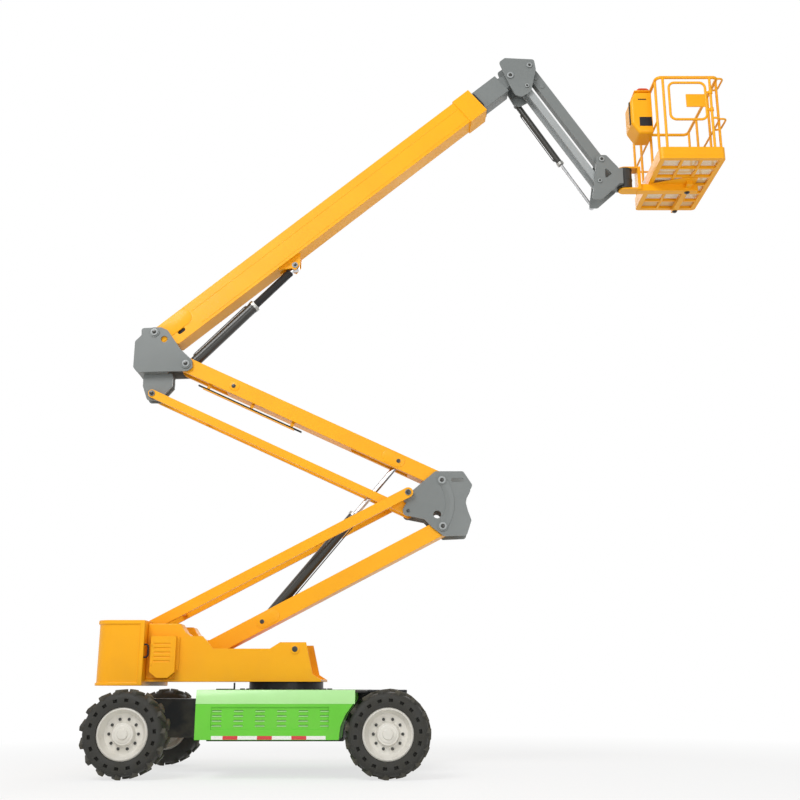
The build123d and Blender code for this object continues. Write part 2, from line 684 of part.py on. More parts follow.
# Lower riser arm: box beam with an open slot on top for the lift cylinder
SLOT_IN = RISER_RADIUS + 12
with BuildPart() as lower_arm:
    bar(LOWER_PLANE, 0, LOWER_LENGTH, -ARM_HALF_DEPTH, ARM_HALF_DEPTH, -ARM_HALF_WIDTH, ARM_HALF_WIDTH)
    disc(LOWER_PLANE, 0, 0, ARM_HALF_DEPTH, -ARM_HALF_WIDTH, ARM_HALF_WIDTH)
    disc(LOWER_PLANE, LOWER_LENGTH, 0, ARM_HALF_DEPTH, -ARM_HALF_WIDTH, ARM_HALF_WIDTH)
    bar(
        LOWER_PLANE,
        RISER_BASE_ALONG - 130,
        RISER_BASE_ALONG + 520,
        -ARM_HALF_DEPTH + ARM_WALL,
        ARM_HALF_DEPTH,
        -SLOT_IN,
        SLOT_IN,
        Mode.SUBTRACT,
    )
    disc(LOWER_PLANE, RISER_BASE_ALONG, 0, RISER_RAM_PIN, -ARM_HALF_WIDTH, ARM_HALF_WIDTH)
    disc(LOWER_PLANE, 0, 0, PIN_RADIUS + PIN_GAP, -ARM_HALF_WIDTH, ARM_HALF_WIDTH, Mode.SUBTRACT)
    disc(LOWER_PLANE, LOWER_LENGTH, 0, PIN_RADIUS + PIN_GAP, -ARM_HALF_WIDTH, ARM_HALF_WIDTH, Mode.SUBTRACT)
save(lower_arm, "lower_arm")

with BuildPart() as lower_links:
    lane = {"y_in": LINK_IN, "y_out": LINK_OUT}
    both_sides(bar, LOWER_LINK_PLANE, 0, LOWER_LENGTH, -LINK_HALF_DEPTH, LINK_HALF_DEPTH, **lane)
    for end in (0, LOWER_LENGTH):
        both_sides(disc, LOWER_LINK_PLANE, end, 0, LINK_HALF_DEPTH, **lane)
        both_sides(disc, LOWER_LINK_PLANE, end, 0, PIN_RADIUS + PIN_GAP, mode=Mode.SUBTRACT, **lane)
    disc(LOWER_LINK_PLANE, 420, 0, 28, -LINK_OUT, LINK_OUT)
save(lower_links, "lower_links")

# Elbow: two shaped plates that carry the ends of both risers
ELBOW_PLANE = side_plane(ELBOW_LOW)
ELBOW_SHAPE = [
    (-373, 372),
    (-78, 623),
    (237, 623),
    (340, 463),
    (275, 338),
    (262, 260),
    (282, 179),
    (322, 67),
    (267, -101),
    (9, -112),
    (-125, -6),
    (-394, 287),
]
with BuildPart() as elbow:
    plates = {"y_in": PLATE_IN, "y_out": PLATE_OUT}
    bosses = {"y_in": PLATE_OUT, "y_out": PLATE_OUT + BOSS_THICK}
    up_x = ELBOW_UP[0] - ELBOW_LOW[0]
    up_z = ELBOW_UP[1] - ELBOW_LOW[1]
    upper_link_at = (up_x + UPPER_LINK_OFFSET[0], up_z + UPPER_LINK_OFFSET[1])
    both_sides(panel, ELBOW_PLANE, ELBOW_SHAPE, PLATE_BEND, **plates)
    both_sides(disc, ELBOW_PLANE, *LINK_OFFSET, BOSS_RADIUS + 4, **plates)
    both_sides(disc, ELBOW_PLANE, *upper_link_at, BOSS_RADIUS, **plates)
    lug = [(-394, 287), (-200, 80), (-300, 100), (-420, 124), (-440, 200)]
    both_sides(slab, ELBOW_PLANE, lug, **plates)
    window = [(100, 500), (240, 500), (240, 545), (100, 545)]
    both_sides(panel, ELBOW_PLANE, window, 20, mode=Mode.SUBTRACT, **plates)
    both_sides(disc, ELBOW_PLANE, -61, 132, 44, mode=Mode.SUBTRACT, **plates)
    for pin_at in ((0, 0), (up_x, up_z)):
        both_sides(disc, ELBOW_PLANE, *pin_at, BOSS_RADIUS, **bosses)
        disc(ELBOW_PLANE, *pin_at, PIN_RADIUS, -PLATE_OUT - 14, PLATE_OUT + 14)
    disc(ELBOW_PLANE, *upper_link_at, UPPER_LINK_PIN, -PLATE_OUT, PLATE_OUT)
    both_sides(disc, ELBOW_PLANE, *LINK_OFFSET, PIN_RADIUS, y_in=PLATE_IN, y_out=LINK_OUT + 10)
    bar(ELBOW_PLANE, 225, 245, 0, 460, -PLATE_IN, PLATE_IN)
save(elbow, "elbow")

# Riser lift cylinder
RISER_BARREL = 1560.0
with BuildPart() as riser_barrel:
    round_rod(RISER_PLANE, 45, RISER_BARREL, RISER_RADIUS)
    disc(RISER_PLANE, 0, 0, 58, -RISER_RADIUS, RISER_RADIUS)
    round_rod(RISER_PLANE, 75, RISER_BARREL, RISER_ROD + SEAT_GAP, mode=Mode.SUBTRACT)
    disc(RISER_PLANE, 0, 0, RISER_RAM_PIN + PIN_GAP, -RISER_RADIUS, RISER_RADIUS, Mode.SUBTRACT)
save(riser_barrel, "riser_barrel")

with BuildPart() as riser_rod:
    round_rod(RISER_PLANE, RISER_SPAN - 1580, RISER_SPAN - 20, RISER_ROD)
    disc(RISER_PLANE, RISER_SPAN, 0, RISER_EYE, -40, 40)
save(riser_rod, "riser_rod")

# Upper riser arm: open below for the lift cylinder, forked at the mast
FORK_THROUGH = 560.0
FORK_OPEN = 1380.0
FORK_HALF = SLOT_IN + 12
EYE_ALONG = UPPER_LENGTH - RISER_EYE_ALONG
with BuildPart() as upper_arm:
    bar(UPPER_PLANE, 0, UPPER_LENGTH, -ARM_HALF_DEPTH, ARM_HALF_DEPTH, -ARM_HALF_WIDTH, ARM_HALF_WIDTH)
    disc(UPPER_PLANE, 0, 0, ARM_HALF_DEPTH, -ARM_HALF_WIDTH, ARM_HALF_WIDTH)
    disc(UPPER_PLANE, UPPER_LENGTH, 0, ARM_HALF_DEPTH, -ARM_HALF_WIDTH, ARM_HALF_WIDTH)
    bar(UPPER_PLANE, -120, FORK_THROUGH, -120, 120, -FORK_HALF, FORK_HALF, Mode.SUBTRACT)
    bar(UPPER_PLANE, 0, FORK_OPEN, -ARM_HALF_DEPTH + ARM_WALL, 120, -FORK_HALF, FORK_HALF, Mode.SUBTRACT)
    bar(
        UPPER_PLANE,
        EYE_ALONG - 560,
        EYE_ALONG + 150,
        -ARM_HALF_DEPTH,
        ARM_HALF_DEPTH - ARM_WALL,
        -SLOT_IN,
        SLOT_IN,
        Mode.SUBTRACT,
    )
    disc(UPPER_PLANE, 0, 0, PIN_RADIUS + PIN_GAP, -ARM_HALF_WIDTH, ARM_HALF_WIDTH, Mode.SUBTRACT)
    disc(UPPER_PLANE, UPPER_LENGTH, 0, PIN_RADIUS + PIN_GAP, -ARM_HALF_WIDTH, ARM_HALF_WIDTH, Mode.SUBTRACT)
save(upper_arm, "upper_arm")

with BuildPart() as upper_links:
    lane = {"y_in": UPPER_LINK_IN, "y_out": UPPER_LINK_OUT}
    both_sides(
        bar, UPPER_LINK_PLANE, 0, UPPER_LENGTH, -UPPER_LINK_HALF_DEPTH, UPPER_LINK_HALF_DEPTH, **lane
    )
    for end, pin in ((0, PIN_RADIUS), (UPPER_LENGTH, UPPER_LINK_PIN)):
        both_sides(disc, UPPER_LINK_PLANE, end, 0, UPPER_LINK_HALF_DEPTH, **lane)
        both_sides(disc, UPPER_LINK_PLANE, end, 0, pin + PIN_GAP, mode=Mode.SUBTRACT, **lane)
    disc(UPPER_LINK_PLANE, 700, 0, 26, -UPPER_LINK_OUT, UPPER_LINK_OUT)
save(upper_links, "upper_links")

# Hose tray below the upper arm: three hangers, a rail, and hoses that lie on the rail all the way
TRAY_FROM = 303.0
TRAY_TO = 1480.0
TRAY_DROP = 80.0
TRAY_THICK = 8.0
TRAY_OUT = 134.0
TRAY_IN = 74.0
HOSE_RADIUS = 9.0
HOSE_LANES = (-121.0, -99.0)
TRAY_FLOOR = -ARM_HALF_DEPTH - TRAY_DROP
with BuildPart() as hose_tray:
    bar(UPPER_PLANE, TRAY_FROM, TRAY_TO, TRAY_FLOOR - TRAY_THICK, TRAY_FLOOR, -TRAY_OUT, -TRAY_IN)
    for hanger in (TRAY_FROM + 30, (TRAY_FROM + TRAY_TO) / 2, TRAY_TO - 70):
        bar(
            UPPER_PLANE,
            hanger,
            hanger + 40,
            TRAY_FLOOR,
            -ARM_HALF_DEPTH - TOUCH,
            -TRAY_IN - TRAY_THICK,
            -TRAY_IN,
        )
save(hose_tray, "hose_tray")

with BuildPart() as tray_hoses:
    for hose_y in HOSE_LANES:
        hose_plane = UPPER_PLANE.offset(0)
        hose_plane.origin = UPPER_PLANE.from_local_coords((0, TRAY_FLOOR + HOSE_RADIUS + TOUCH, 0))
        round_rod(hose_plane, TRAY_FROM - 60, TRAY_TO + 90, HOSE_RADIUS, y=hose_y)
save(tray_hoses, "tray_hoses")

# Mast: two upper plates for the boom and a narrow foot for the link
MAST_SHAPE = [
    (-1797, 4931),
    (-1569, 4943),
    (-1491, 4906),
    (-1325, 4672),
    (-1185, 4540),
    (-1175, 4450),
    (-1230, 4410),
    (-1816, 4392),
    (-1864, 4453),
    (-1863, 4770),
    (-1792, 4844),
]
FOOT_HALF = UPPER_LINK_IN - SIDE_GAP
with BuildPart() as mast:
    both_sides(panel, FLAT, MAST_SHAPE, PLATE_BEND - 4, y_in=PLATE_IN, y_out=PLATE_OUT)
    bar(FLAT, -1864, -1838, 4470, 4750, -PLATE_IN, PLATE_IN)
    foot = [(-1760, 4405), (-1416, 4405), (-1416, 4250), (-1560, 4080), (-1700, 4080), (-1760, 4250)]
    both_sides(panel, FLAT, foot, PLATE_BEND, y_in=FOOT_HALF - 24, y_out=FOOT_HALF)
    bar(FLAT, -1812, -1470, 4392, 4414, -PLATE_IN, PLATE_IN)
    both_sides(disc, FLAT, -1524, 4797, 40, y_in=PLATE_IN, y_out=PLATE_OUT, mode=Mode.SUBTRACT)
    for pin_at in (BOOM_PIVOT, MAST_ARM):
        both_sides(disc, FLAT, *pin_at, BOSS_RADIUS, y_in=PLATE_OUT, y_out=PLATE_OUT + BOSS_THICK)
    disc(FLAT, *MAST_LINK, PIN_RADIUS, -UPPER_LINK_OUT - 12, UPPER_LINK_OUT + 12)
    disc(FLAT, *BOOM_PIVOT, PIN_RADIUS, -PLATE_OUT - 14, PLATE_OUT + 14)
    both_sides(disc, FLAT, *MAST_ARM, PIN_RADIUS, y_in=FORK_HALF + 8, y_out=PLATE_OUT + 14)
save(mast, "mast")

# Boom: hollow box with a lug below for the lift cylinder
BOOM_TOP = BOOM_HALF_DEPTH - BOOM_DROP
BOOM_LOW = -BOOM_HALF_DEPTH - BOOM_DROP
with BuildPart() as boom:
    rear = [
        (BOOM_REAR + 40, BOOM_TOP),
        (BOOM_TIP, BOOM_TOP),
        (BOOM_TIP, BOOM_LOW),
        (BOOM_REAR + 260, BOOM_LOW),
        (BOOM_REAR, -80),
        (BOOM_REAR, BOOM_TOP - 40),
    ]
    slab(BOOM_PLANE, rear, -BOOM_HALF_WIDTH, BOOM_HALF_WIDTH)
    bar(
        BOOM_PLANE,
        FLY_REAR - 260,
        BOOM_TIP - WEAR_PAD,
        BOOM_LOW + BOOM_WALL,
        BOOM_TOP - BOOM_WALL,
        -BOOM_HALF_WIDTH + BOOM_WALL,
        BOOM_HALF_WIDTH - BOOM_WALL,
        Mode.SUBTRACT,
    )
    fly_half = FLY_HALF_DEPTH + SEAT_GAP
    bar(
        BOOM_PLANE,
        BOOM_TIP - 2 * WEAR_PAD,
        BOOM_TIP,
        -fly_half - BOOM_DROP,
        fly_half - BOOM_DROP,
        -FLY_HALF_WIDTH - SEAT_GAP,
        FLY_HALF_WIDTH + SEAT_GAP,
        Mode.SUBTRACT,
    )
    collar = {"y_in": BOOM_HALF_WIDTH, "y_out": BOOM_HALF_WIDTH + BOOM_COLLAR_THICK}
    collar_low = BOOM_LOW - BOOM_COLLAR_THICK
    collar_high = BOOM_TOP + BOOM_COLLAR_THICK
    both_sides(bar, BOOM_PLANE, BOOM_TIP - BOOM_COLLAR, BOOM_TIP, collar_low, collar_high, **collar)
    for low, high in ((collar_low, BOOM_LOW), (BOOM_TOP, collar_high)):
        bar(BOOM_PLANE, BOOM_TIP - BOOM_COLLAR, BOOM_TIP, low, high, -BOOM_HALF_WIDTH, BOOM_HALF_WIDTH)
    pocket = [(205, -200), (305, -200), (305, -150), (205, -150)]
    pockets = {"y_in": BOOM_HALF_WIDTH - 30, "y_out": BOOM_HALF_WIDTH}
    both_sides(panel, BOOM_PLANE, pocket, 24, mode=Mode.SUBTRACT, **pockets)
    lug = [
        (LUG_ALONG - 190, BOOM_LOW),
        (LUG_ALONG + 150, BOOM_LOW),
        (LUG_ALONG + 52, -LUG_DROP - 30),
        (LUG_ALONG - 30, -LUG_DROP - 50),
        (LUG_ALONG - 60, -LUG_DROP),
    ]
    both_sides(slab, BOOM_PLANE, lug, y_in=54, y_out=74)
    disc(BOOM_PLANE, LUG_ALONG, -LUG_DROP, BOOM_RAM_PIN, -80, 80)
    disc(BOOM_PLANE, 0, 0, PIN_RADIUS + PIN_GAP, -BOOM_HALF_WIDTH, BOOM_HALF_WIDTH, Mode.SUBTRACT)
save(boom, "boom")

# Boom lift cylinder: the rod wears a bellows that goes into the barrel with it
BOOM_BARREL = 1090.0
with BuildPart() as boom_barrel:
    round_rod(BOOM_CYL_PLANE, 40, BOOM_BARREL, BOOM_CYL_RADIUS)
    disc(BOOM_CYL_PLANE, 0, 0, 58, -52, 52)
    round_rod(BOOM_CYL_PLANE, 75, BOOM_BARREL, BOOM_CYL_BORE, mode=Mode.SUBTRACT)
    round_rod(BOOM_CYL_PLANE, BOOM_BARREL - 60, BOOM_BARREL, BOOM_CYL_RADIUS + 4)
    round_rod(BOOM_CYL_PLANE, BOOM_BARREL - 61, BOOM_BARREL, BOOM_CYL_BORE, mode=Mode.SUBTRACT)
save(boom_barrel, "boom_barrel")

with BuildPart() as boom_rod:
    round_rod(BOOM_CYL_PLANE, BOOM_CYL_SPAN - 1000, BOOM_CYL_SPAN - 25, BOOM_ROD_RADIUS)
    round_rod(BOOM_CYL_PLANE, BOOM_CYL_SPAN - 1000, BOOM_CYL_SPAN - 940, BOOM_CYL_BORE - SEAT_GAP)
    round_rod(BOOM_CYL_PLANE, BOOM_CYL_SPAN - 880, BOOM_CYL_SPAN - 90, BOOT_RADIUS)
    disc(BOOM_CYL_PLANE, BOOM_CYL_SPAN, 0, 48, -44, 44)
    disc(BOOM_CYL_PLANE, BOOM_CYL_SPAN, 0, BOOM_RAM_PIN + PIN_GAP, -44, 44, Mode.SUBTRACT)
save(boom_rod, "boom_rod")

# Fly: the inner boom that slides out, with a head that holds the jib
with BuildPart() as fly:
    bar(
        BOOM_PLANE,
        FLY_REAR,
        FLY_TIP,
        -FLY_HALF_DEPTH - BOOM_DROP,
        FLY_HALF_DEPTH - BOOM_DROP,
        -FLY_HALF_WIDTH,
        FLY_HALF_WIDTH,
    )
    bar(BOOM_PLANE, FLY_REAR - 1, FLY_TIP - 120, -110 - BOOM_DROP, 110 - BOOM_DROP, -86, 86, Mode.SUBTRACT)
    head = [
        (FLY_TIP - 40, 110 - BOOM_DROP),
        (FLY_TIP - 40, -110 - BOOM_DROP),
        (LEVEL_ALONG, -62 - BOOM_DROP),
        (LEVEL_ALONG, 62 - BOOM_DROP),
    ]
    head_half = FLY_HALF_WIDTH - 30
    slab(BOOM_PLANE, head, -head_half, head_half)
    disc(BOOM_PLANE, LEVEL_ALONG, -BOOM_DROP, 62, -head_half, head_half)
    disc(BOOM_PLANE, LEVEL_ALONG, -BOOM_DROP, PIN_RADIUS + PIN_GAP, -head_half, head_half, Mode.SUBTRACT)
save(fly, "fly")

# Jib: base, beam, twin link, end bracket and a cylinder in a lane of its own
JIB_BASE_SHAPE = [
    (2486, 8500),
    (2560, 8560),
    (2930, 8540),
    (2950, 8400),
    (2880, 8080),
    (2760, 8010),
    (2680, 8040),
    (2600, 8200),
]
with BuildPart() as jib_base:
    both_sides(panel, FLAT, JIB_BASE_SHAPE, PLATE_BEND, y_in=JIB_PLATE_IN, y_out=JIB_PLATE_OUT)
    disc(FLAT, *LEVEL_PIN, PIN_RADIUS, -JIB_PLATE_OUT - 10, JIB_PLATE_OUT + 10)
    disc(FLAT, *JIB_BEAM_BASE, JIB_PIN, -JIB_PLATE_OUT - 10, JIB_PLATE_OUT + 10)
    disc(FLAT, *JIB_LINK_BASE, JIB_LINK_PIN, -JIB_PLATE_OUT - 10, JIB_PLATE_OUT + 10)
    disc(FLAT, *JIB_CYL_BASE, JIB_RAM_PIN, JIB_PLATE_IN, JIB_CYL_LANE + 40)
    bar(FLAT, 2560, 2760, 8520, 8545, -JIB_PLATE_IN, JIB_PLATE_IN)
save(jib_base, "jib_base")

with BuildPart() as jib_beam:
    bar(JIB_PLANE, 0, JIB_LENGTH, -JIB_BEAM_DEPTH, JIB_BEAM_DEPTH, -JIB_BEAM_HALF, JIB_BEAM_HALF)
    for end in (0, JIB_LENGTH):
        disc(JIB_PLANE, end, 0, JIB_BEAM_DEPTH, -JIB_BEAM_HALF, JIB_BEAM_HALF)
    for end in (0, JIB_LENGTH):
        disc(JIB_PLANE, end, 0, JIB_PIN + PIN_GAP, -JIB_BEAM_HALF, JIB_BEAM_HALF, Mode.SUBTRACT)
save(jib_beam, "jib_beam")

with BuildPart() as jib_links:
    lane = {"y_in": JIB_LINK_IN, "y_out": JIB_LINK_OUT}
    both_sides(bar, JIB_LINK_PLANE, 0, JIB_LENGTH, -JIB_LINK_DEPTH, JIB_LINK_DEPTH, **lane)
    for end in (0, JIB_LENGTH):
        both_sides(disc, JIB_LINK_PLANE, end, 0, JIB_LINK_DEPTH, **lane)
        both_sides(disc, JIB_LINK_PLANE, end, 0, JIB_LINK_PIN + PIN_GAP, mode=Mode.SUBTRACT, **lane)
save(jib_links, "jib_links")

JIB_END_SHAPE = [
    (JIB_BEAM_END[0] - 60, JIB_BEAM_END[1] + 60),
    (JIB_BEAM_END[0] + 60, JIB_BEAM_END[1] + 60),
    (ROTATOR_X - ROTATOR_RADIUS, ROTATOR_TOP - 20),
    (ROTATOR_X - ROTATOR_RADIUS, ROTATOR_BOTTOM + 20),
    (JIB_CYL_EYE[0] + 60, JIB_CYL_EYE[1] - 50),
    (JIB_CYL_EYE[0] - 50, JIB_CYL_EYE[1] - 50),
    (JIB_LINK_END[0] - 60, JIB_LINK_END[1]),
]
with BuildPart() as jib_end:
    both_sides(panel, FLAT, JIB_END_SHAPE, PLATE_BEND - 4, y_in=JIB_PLATE_IN, y_out=JIB_PLATE_OUT)
    window = [(3752, 7030), (3838, 6950), (3752, 6880)]
    both_sides(panel, FLAT, window, 12, y_in=JIB_PLATE_IN, y_out=JIB_PLATE_OUT, mode=Mode.SUBTRACT)
    disc(FLAT, *JIB_BEAM_END, JIB_PIN, -JIB_PLATE_OUT - 10, JIB_PLATE_OUT + 10)
    disc(FLAT, *JIB_LINK_END, JIB_LINK_PIN, -JIB_PLATE_OUT - 10, JIB_PLATE_OUT + 10)
    with Locations((SLEW_X + ROTATOR_X, 0, ROTATOR_BOTTOM)):
        Cylinder(
            ROTATOR_RADIUS,
            ROTATOR_TOP - ROTATOR_BOTTOM,
            align=(Align.CENTER, Align.CENTER, Align.MIN),
        )
    neck = (ROTATOR_X - 160, ROTATOR_X - 40, ROTATOR_BOTTOM + 30, ROTATOR_TOP - 30)
    bar(FLAT, *neck, -JIB_PLATE_OUT, JIB_PLATE_OUT)
save(jib_end, "jib_end")

JIB_BARREL = 1000.0
with BuildPart() as jib_barrel:
    round_rod(JIB_CYL_PLANE, 30, JIB_BARREL, JIB_CYL_RADIUS, y=JIB_CYL_LANE)
    disc(JIB_CYL_PLANE, 0, 0, 40, JIB_CYL_LANE - 30, JIB_CYL_LANE + 30)
    round_rod(JIB_CYL_PLANE, 60, JIB_BARREL, JIB_CYL_BORE, y=JIB_CYL_LANE, mode=Mode.SUBTRACT)
    disc(JIB_CYL_PLANE, 0, 0, JIB_RAM_PIN + PIN_GAP, JIB_CYL_LANE - 30, JIB_CYL_LANE + 30, Mode.SUBTRACT)
save(jib_barrel, "jib_barrel")

with BuildPart() as jib_rod:
    round_rod(JIB_CYL_PLANE, 620, JIB_CYL_SPAN - 15, JIB_ROD_RADIUS, y=JIB_CYL_LANE)
    round_rod(JIB_CYL_PLANE, 620, 670, JIB_CYL_BORE - SEAT_GAP, y=JIB_CYL_LANE)
    disc(JIB_CYL_PLANE, JIB_CYL_SPAN, 0, 36, JIB_CYL_LANE - 26, JIB_CYL_LANE + 26)
save(jib_rod, "jib_rod")

# Basket support: a fork round the rotator, an arm below the floor and a beam across it
FORK_TOP = ROTATOR_TOP + SEAT_GAP
FORK_LOW = ROTATOR_BOTTOM - SEAT_GAP
FORK_PLATE = 20.0
BASKET_MIDDLE = (BASKET_BACK + BASKET_FRONT) / 2
with BuildPart() as basket_support:
    for low, high in ((FORK_TOP, FORK_TOP + FORK_PLATE), (FORK_LOW - FORK_PLATE, FORK_LOW)):
        bar(FLAT, ROTATOR_X, ROTATOR_X + 190, low, high, -80, 80)
        with Locations((SLEW_X + ROTATOR_X, 0, (low + high) / 2)):
            Cylinder(80, high - low)
    bar(FLAT, ROTATOR_X + 150, ROTATOR_X + 190, FORK_LOW - FORK_PLATE, FORK_TOP + FORK_PLATE, -80, 80)
    bar(FLAT, ROTATOR_X + 150, BASKET_FRONT - 160, FLOOR_Z - 92, FLOOR_Z - TOUCH, -50, 50)
    beam = (BASKET_MIDDLE + 65, BASKET_MIDDLE + 135, FLOOR_Z - 60, FLOOR_Z - TOUCH)
    bar(FLAT, *beam, -150, BASKET_HALF - FLOOR_EDGE)
    with BuildSketch(level_plane(FLOOR_Z - TOUCH - 10)):
        with BuildLine():
            Polyline(
                (BASKET_BACK, -50),
                (BASKET_MIDDLE, -210),
                (BASKET_MIDDLE + 190, -210),
                (BASKET_MIDDLE + 190, 150),
                (BASKET_MIDDLE, 150),
                (BASKET_BACK, 50),
                close=True,
            )
        make_face()
    extrude(amount=10)
save(basket_support, "basket_support")

# Basket floor: a rounded frame with windows, toe boards on its rim and a mesh sheet on its ribs
FLOOR_TOP = FLOOR_Z + FLOOR_DEPTH
MESH_LOW = FLOOR_TOP - MESH_THICK
FLOOR_X = BASKET_FRONT - BASKET_BACK
FLOOR_Y = 2 * BASKET_HALF
WINDOW_X = (FLOOR_X - 2 * FLOOR_EDGE) / FLOOR_COLUMNS
WINDOW_Y = (FLOOR_Y - 2 * FLOOR_EDGE) / FLOOR_ROWS
INSIDE = (FLOOR_X - 2 * TOE_WALL, FLOOR_Y - 2 * TOE_WALL, FLOOR_CORNER - TOE_WALL)
with BuildPart() as basket_floor:
    with BuildSketch(level_plane(FLOOR_Z)):
        with Locations((BASKET_MIDDLE, 0)):
            RectangleRounded(FLOOR_X, FLOOR_Y, FLOOR_CORNER)
            with GridLocations(WINDOW_X, WINDOW_Y, FLOOR_COLUMNS, FLOOR_ROWS):
                Rectangle(WINDOW_X - FLOOR_RIB, WINDOW_Y - FLOOR_RIB, mode=Mode.SUBTRACT)
    extrude(amount=FLOOR_DEPTH)
    with BuildSketch(level_plane(MESH_LOW - TOUCH)):
        with Locations((BASKET_MIDDLE, 0)):
            RectangleRounded(*INSIDE)
    extrude(amount=FLOOR_DEPTH, mode=Mode.SUBTRACT)
save(basket_floor, "basket_floor")

# Toe boards: four straight ones, with a bent piece at each corner
with BuildPart() as toe_board:
    with BuildSketch(level_plane(FLOOR_TOP + TOUCH)):
        with Locations((BASKET_MIDDLE, 0)):
            RectangleRounded(FLOOR_X, FLOOR_Y, FLOOR_CORNER)
            RectangleRounded(*INSIDE, mode=Mode.SUBTRACT)
            for joint_x in (-FLOOR_X / 2 + FLOOR_CORNER, FLOOR_X / 2 - FLOOR_CORNER):
                with Locations((joint_x, 0)):
                    Rectangle(TOUCH, FLOOR_Y, mode=Mode.SUBTRACT)
            for joint_y in (-FLOOR_Y / 2 + FLOOR_CORNER, FLOOR_Y / 2 - FLOOR_CORNER):
                with Locations((0, joint_y)):
                    Rectangle(FLOOR_X, TOUCH, mode=Mode.SUBTRACT)
    extrude(amount=TOE_HEIGHT - FLOOR_DEPTH - TOUCH)
save(toe_board, "toe_board")

MESH_X = FLOOR_X - 2 * FLOOR_CORNER
MESH_Y = FLOOR_Y - 2 * FLOOR_CORNER
MESH_COLUMNS = int((MESH_X - MESH_STRAND) / MESH_PITCH)
MESH_ROWS = int((MESH_Y - MESH_STRAND) / MESH_PITCH)
with BuildPart() as floor_mesh:
    with BuildSketch(level_plane(MESH_LOW)):
        with Locations((BASKET_MIDDLE, 0)):
            Rectangle(MESH_X, MESH_Y)
            with GridLocations(MESH_PITCH, MESH_PITCH, MESH_COLUMNS, MESH_ROWS):
                Rectangle(MESH_PITCH - MESH_STRAND, MESH_PITCH - MESH_STRAND, mode=Mode.SUBTRACT)
            Rectangle(MESH_X, MESH_STRIP)
    extrude(amount=MESH_THICK)
save(floor_mesh, "floor_mesh")

RAIL_BASE = FLOOR_Z + TOE_HEIGHT + TOUCH
RAIL_TOP = FLOOR_Z + RAIL_HEIGHT
RAIL_MID = FLOOR_Z + MID_RAIL_HEIGHT
BACK_X = BASKET_BACK + RAIL_RADIUS
FRONT_X = BASKET_FRONT - RAIL_RADIUS
EDGE_Y = BASKET_HALF - RAIL_RADIUS
GATE_LEFT = 4450.0
GATE_RIGHT = 4884.0
GATE_POST = 4944.0
GATE_RADIUS = 15.0
POST_INSET = 75.0
POST_X = (BACK_X, FRONT_X)
POST_Y = (-EDGE_Y + POST_INSET, -250.0, 250.0, EDGE_Y - POST_INSET)
with BuildPart() as basket_rails:
    for post_x in POST_X:
        for post_y in POST_Y:
            tube([(post_x, post_y, RAIL_BASE), (post_x, post_y, RAIL_TOP)], POST_RADIUS, 0)
    for half in (-1, 1):
        loop = [
            (BACK_X, 0, RAIL_TOP),
            (BACK_X, half * EDGE_Y, RAIL_TOP),
            (FRONT_X, half * EDGE_Y, RAIL_TOP),
            (FRONT_X, 0, RAIL_TOP),
        ]
        tube(loop, RAIL_RADIUS, RAIL_BEND)
    middle = [
        (BACK_X, -EDGE_Y + POST_INSET, RAIL_MID),
        (BACK_X, EDGE_Y, RAIL_MID),
        (FRONT_X, EDGE_Y, RAIL_MID),
        (FRONT_X, -EDGE_Y, RAIL_MID),
        (GATE_POST, -EDGE_Y, RAIL_MID),
    ]
    tube(middle, MID_RADIUS, RAIL_BEND)
    for post_x in (GATE_POST, BACK_X + POST_INSET):
        tube([(post_x, -EDGE_Y, RAIL_BASE), (post_x, -EDGE_Y, RAIL_TOP)], POST_RADIUS, 0)
save(basket_rails, "basket_rails")

GATE_TOP = RAIL_TOP - 70
GATE_LOW = RAIL_TOP - 560
GATE_MID = (GATE_TOP + GATE_LOW) / 2
with BuildPart() as gate:
    for end_z in (GATE_TOP, GATE_LOW):
        hoop = [
            (GATE_LEFT, -EDGE_Y, GATE_MID),
            (GATE_LEFT, -EDGE_Y, end_z),
            (GATE_RIGHT, -EDGE_Y, end_z),
            (GATE_RIGHT, -EDGE_Y, GATE_MID),
        ]
        tube(hoop, GATE_RADIUS, 70)
    for collar_z in (GATE_TOP - 130, GATE_LOW + 130):
        bar(FLAT, GATE_RIGHT, GATE_POST, collar_z - 12, collar_z + 12, -EDGE_Y - 8, -EDGE_Y + 8)
        with Locations((SLEW_X + GATE_POST, -EDGE_Y, collar_z)):
            Cylinder(POST_RADIUS + 9, 40)
            Cylinder(POST_RADIUS + PIN_GAP, 40, mode=Mode.SUBTRACT)
save(gate, "gate")

CONSOLE_SEAT = BACK_X - POST_RADIUS - TOUCH
CONSOLE_DEPTH = 255.0
CONSOLE_NEAR = -460.0
CONSOLE_FAR = -120.0
CONSOLE_LOW = FLOOR_Z + 470
CONSOLE_TOP = FLOOR_Z + 1030
with BuildPart() as console:
    console_side = [
        (CONSOLE_SEAT, CONSOLE_LOW),
        (CONSOLE_SEAT, CONSOLE_TOP),
        (CONSOLE_SEAT - CONSOLE_DEPTH + 60, CONSOLE_TOP),
        (CONSOLE_SEAT - CONSOLE_DEPTH, CONSOLE_TOP - 120),
        (CONSOLE_SEAT - CONSOLE_DEPTH, CONSOLE_LOW + 140),
        (CONSOLE_SEAT - CONSOLE_DEPTH + 90, CONSOLE_LOW),
    ]
    slab(FLAT, console_side, CONSOLE_NEAR, CONSOLE_FAR)
    fillet(console.edges().filter_by(lambda edge: edge.center().X < SLEW_X + CONSOLE_SEAT - 1), 40)
save(console, "console")

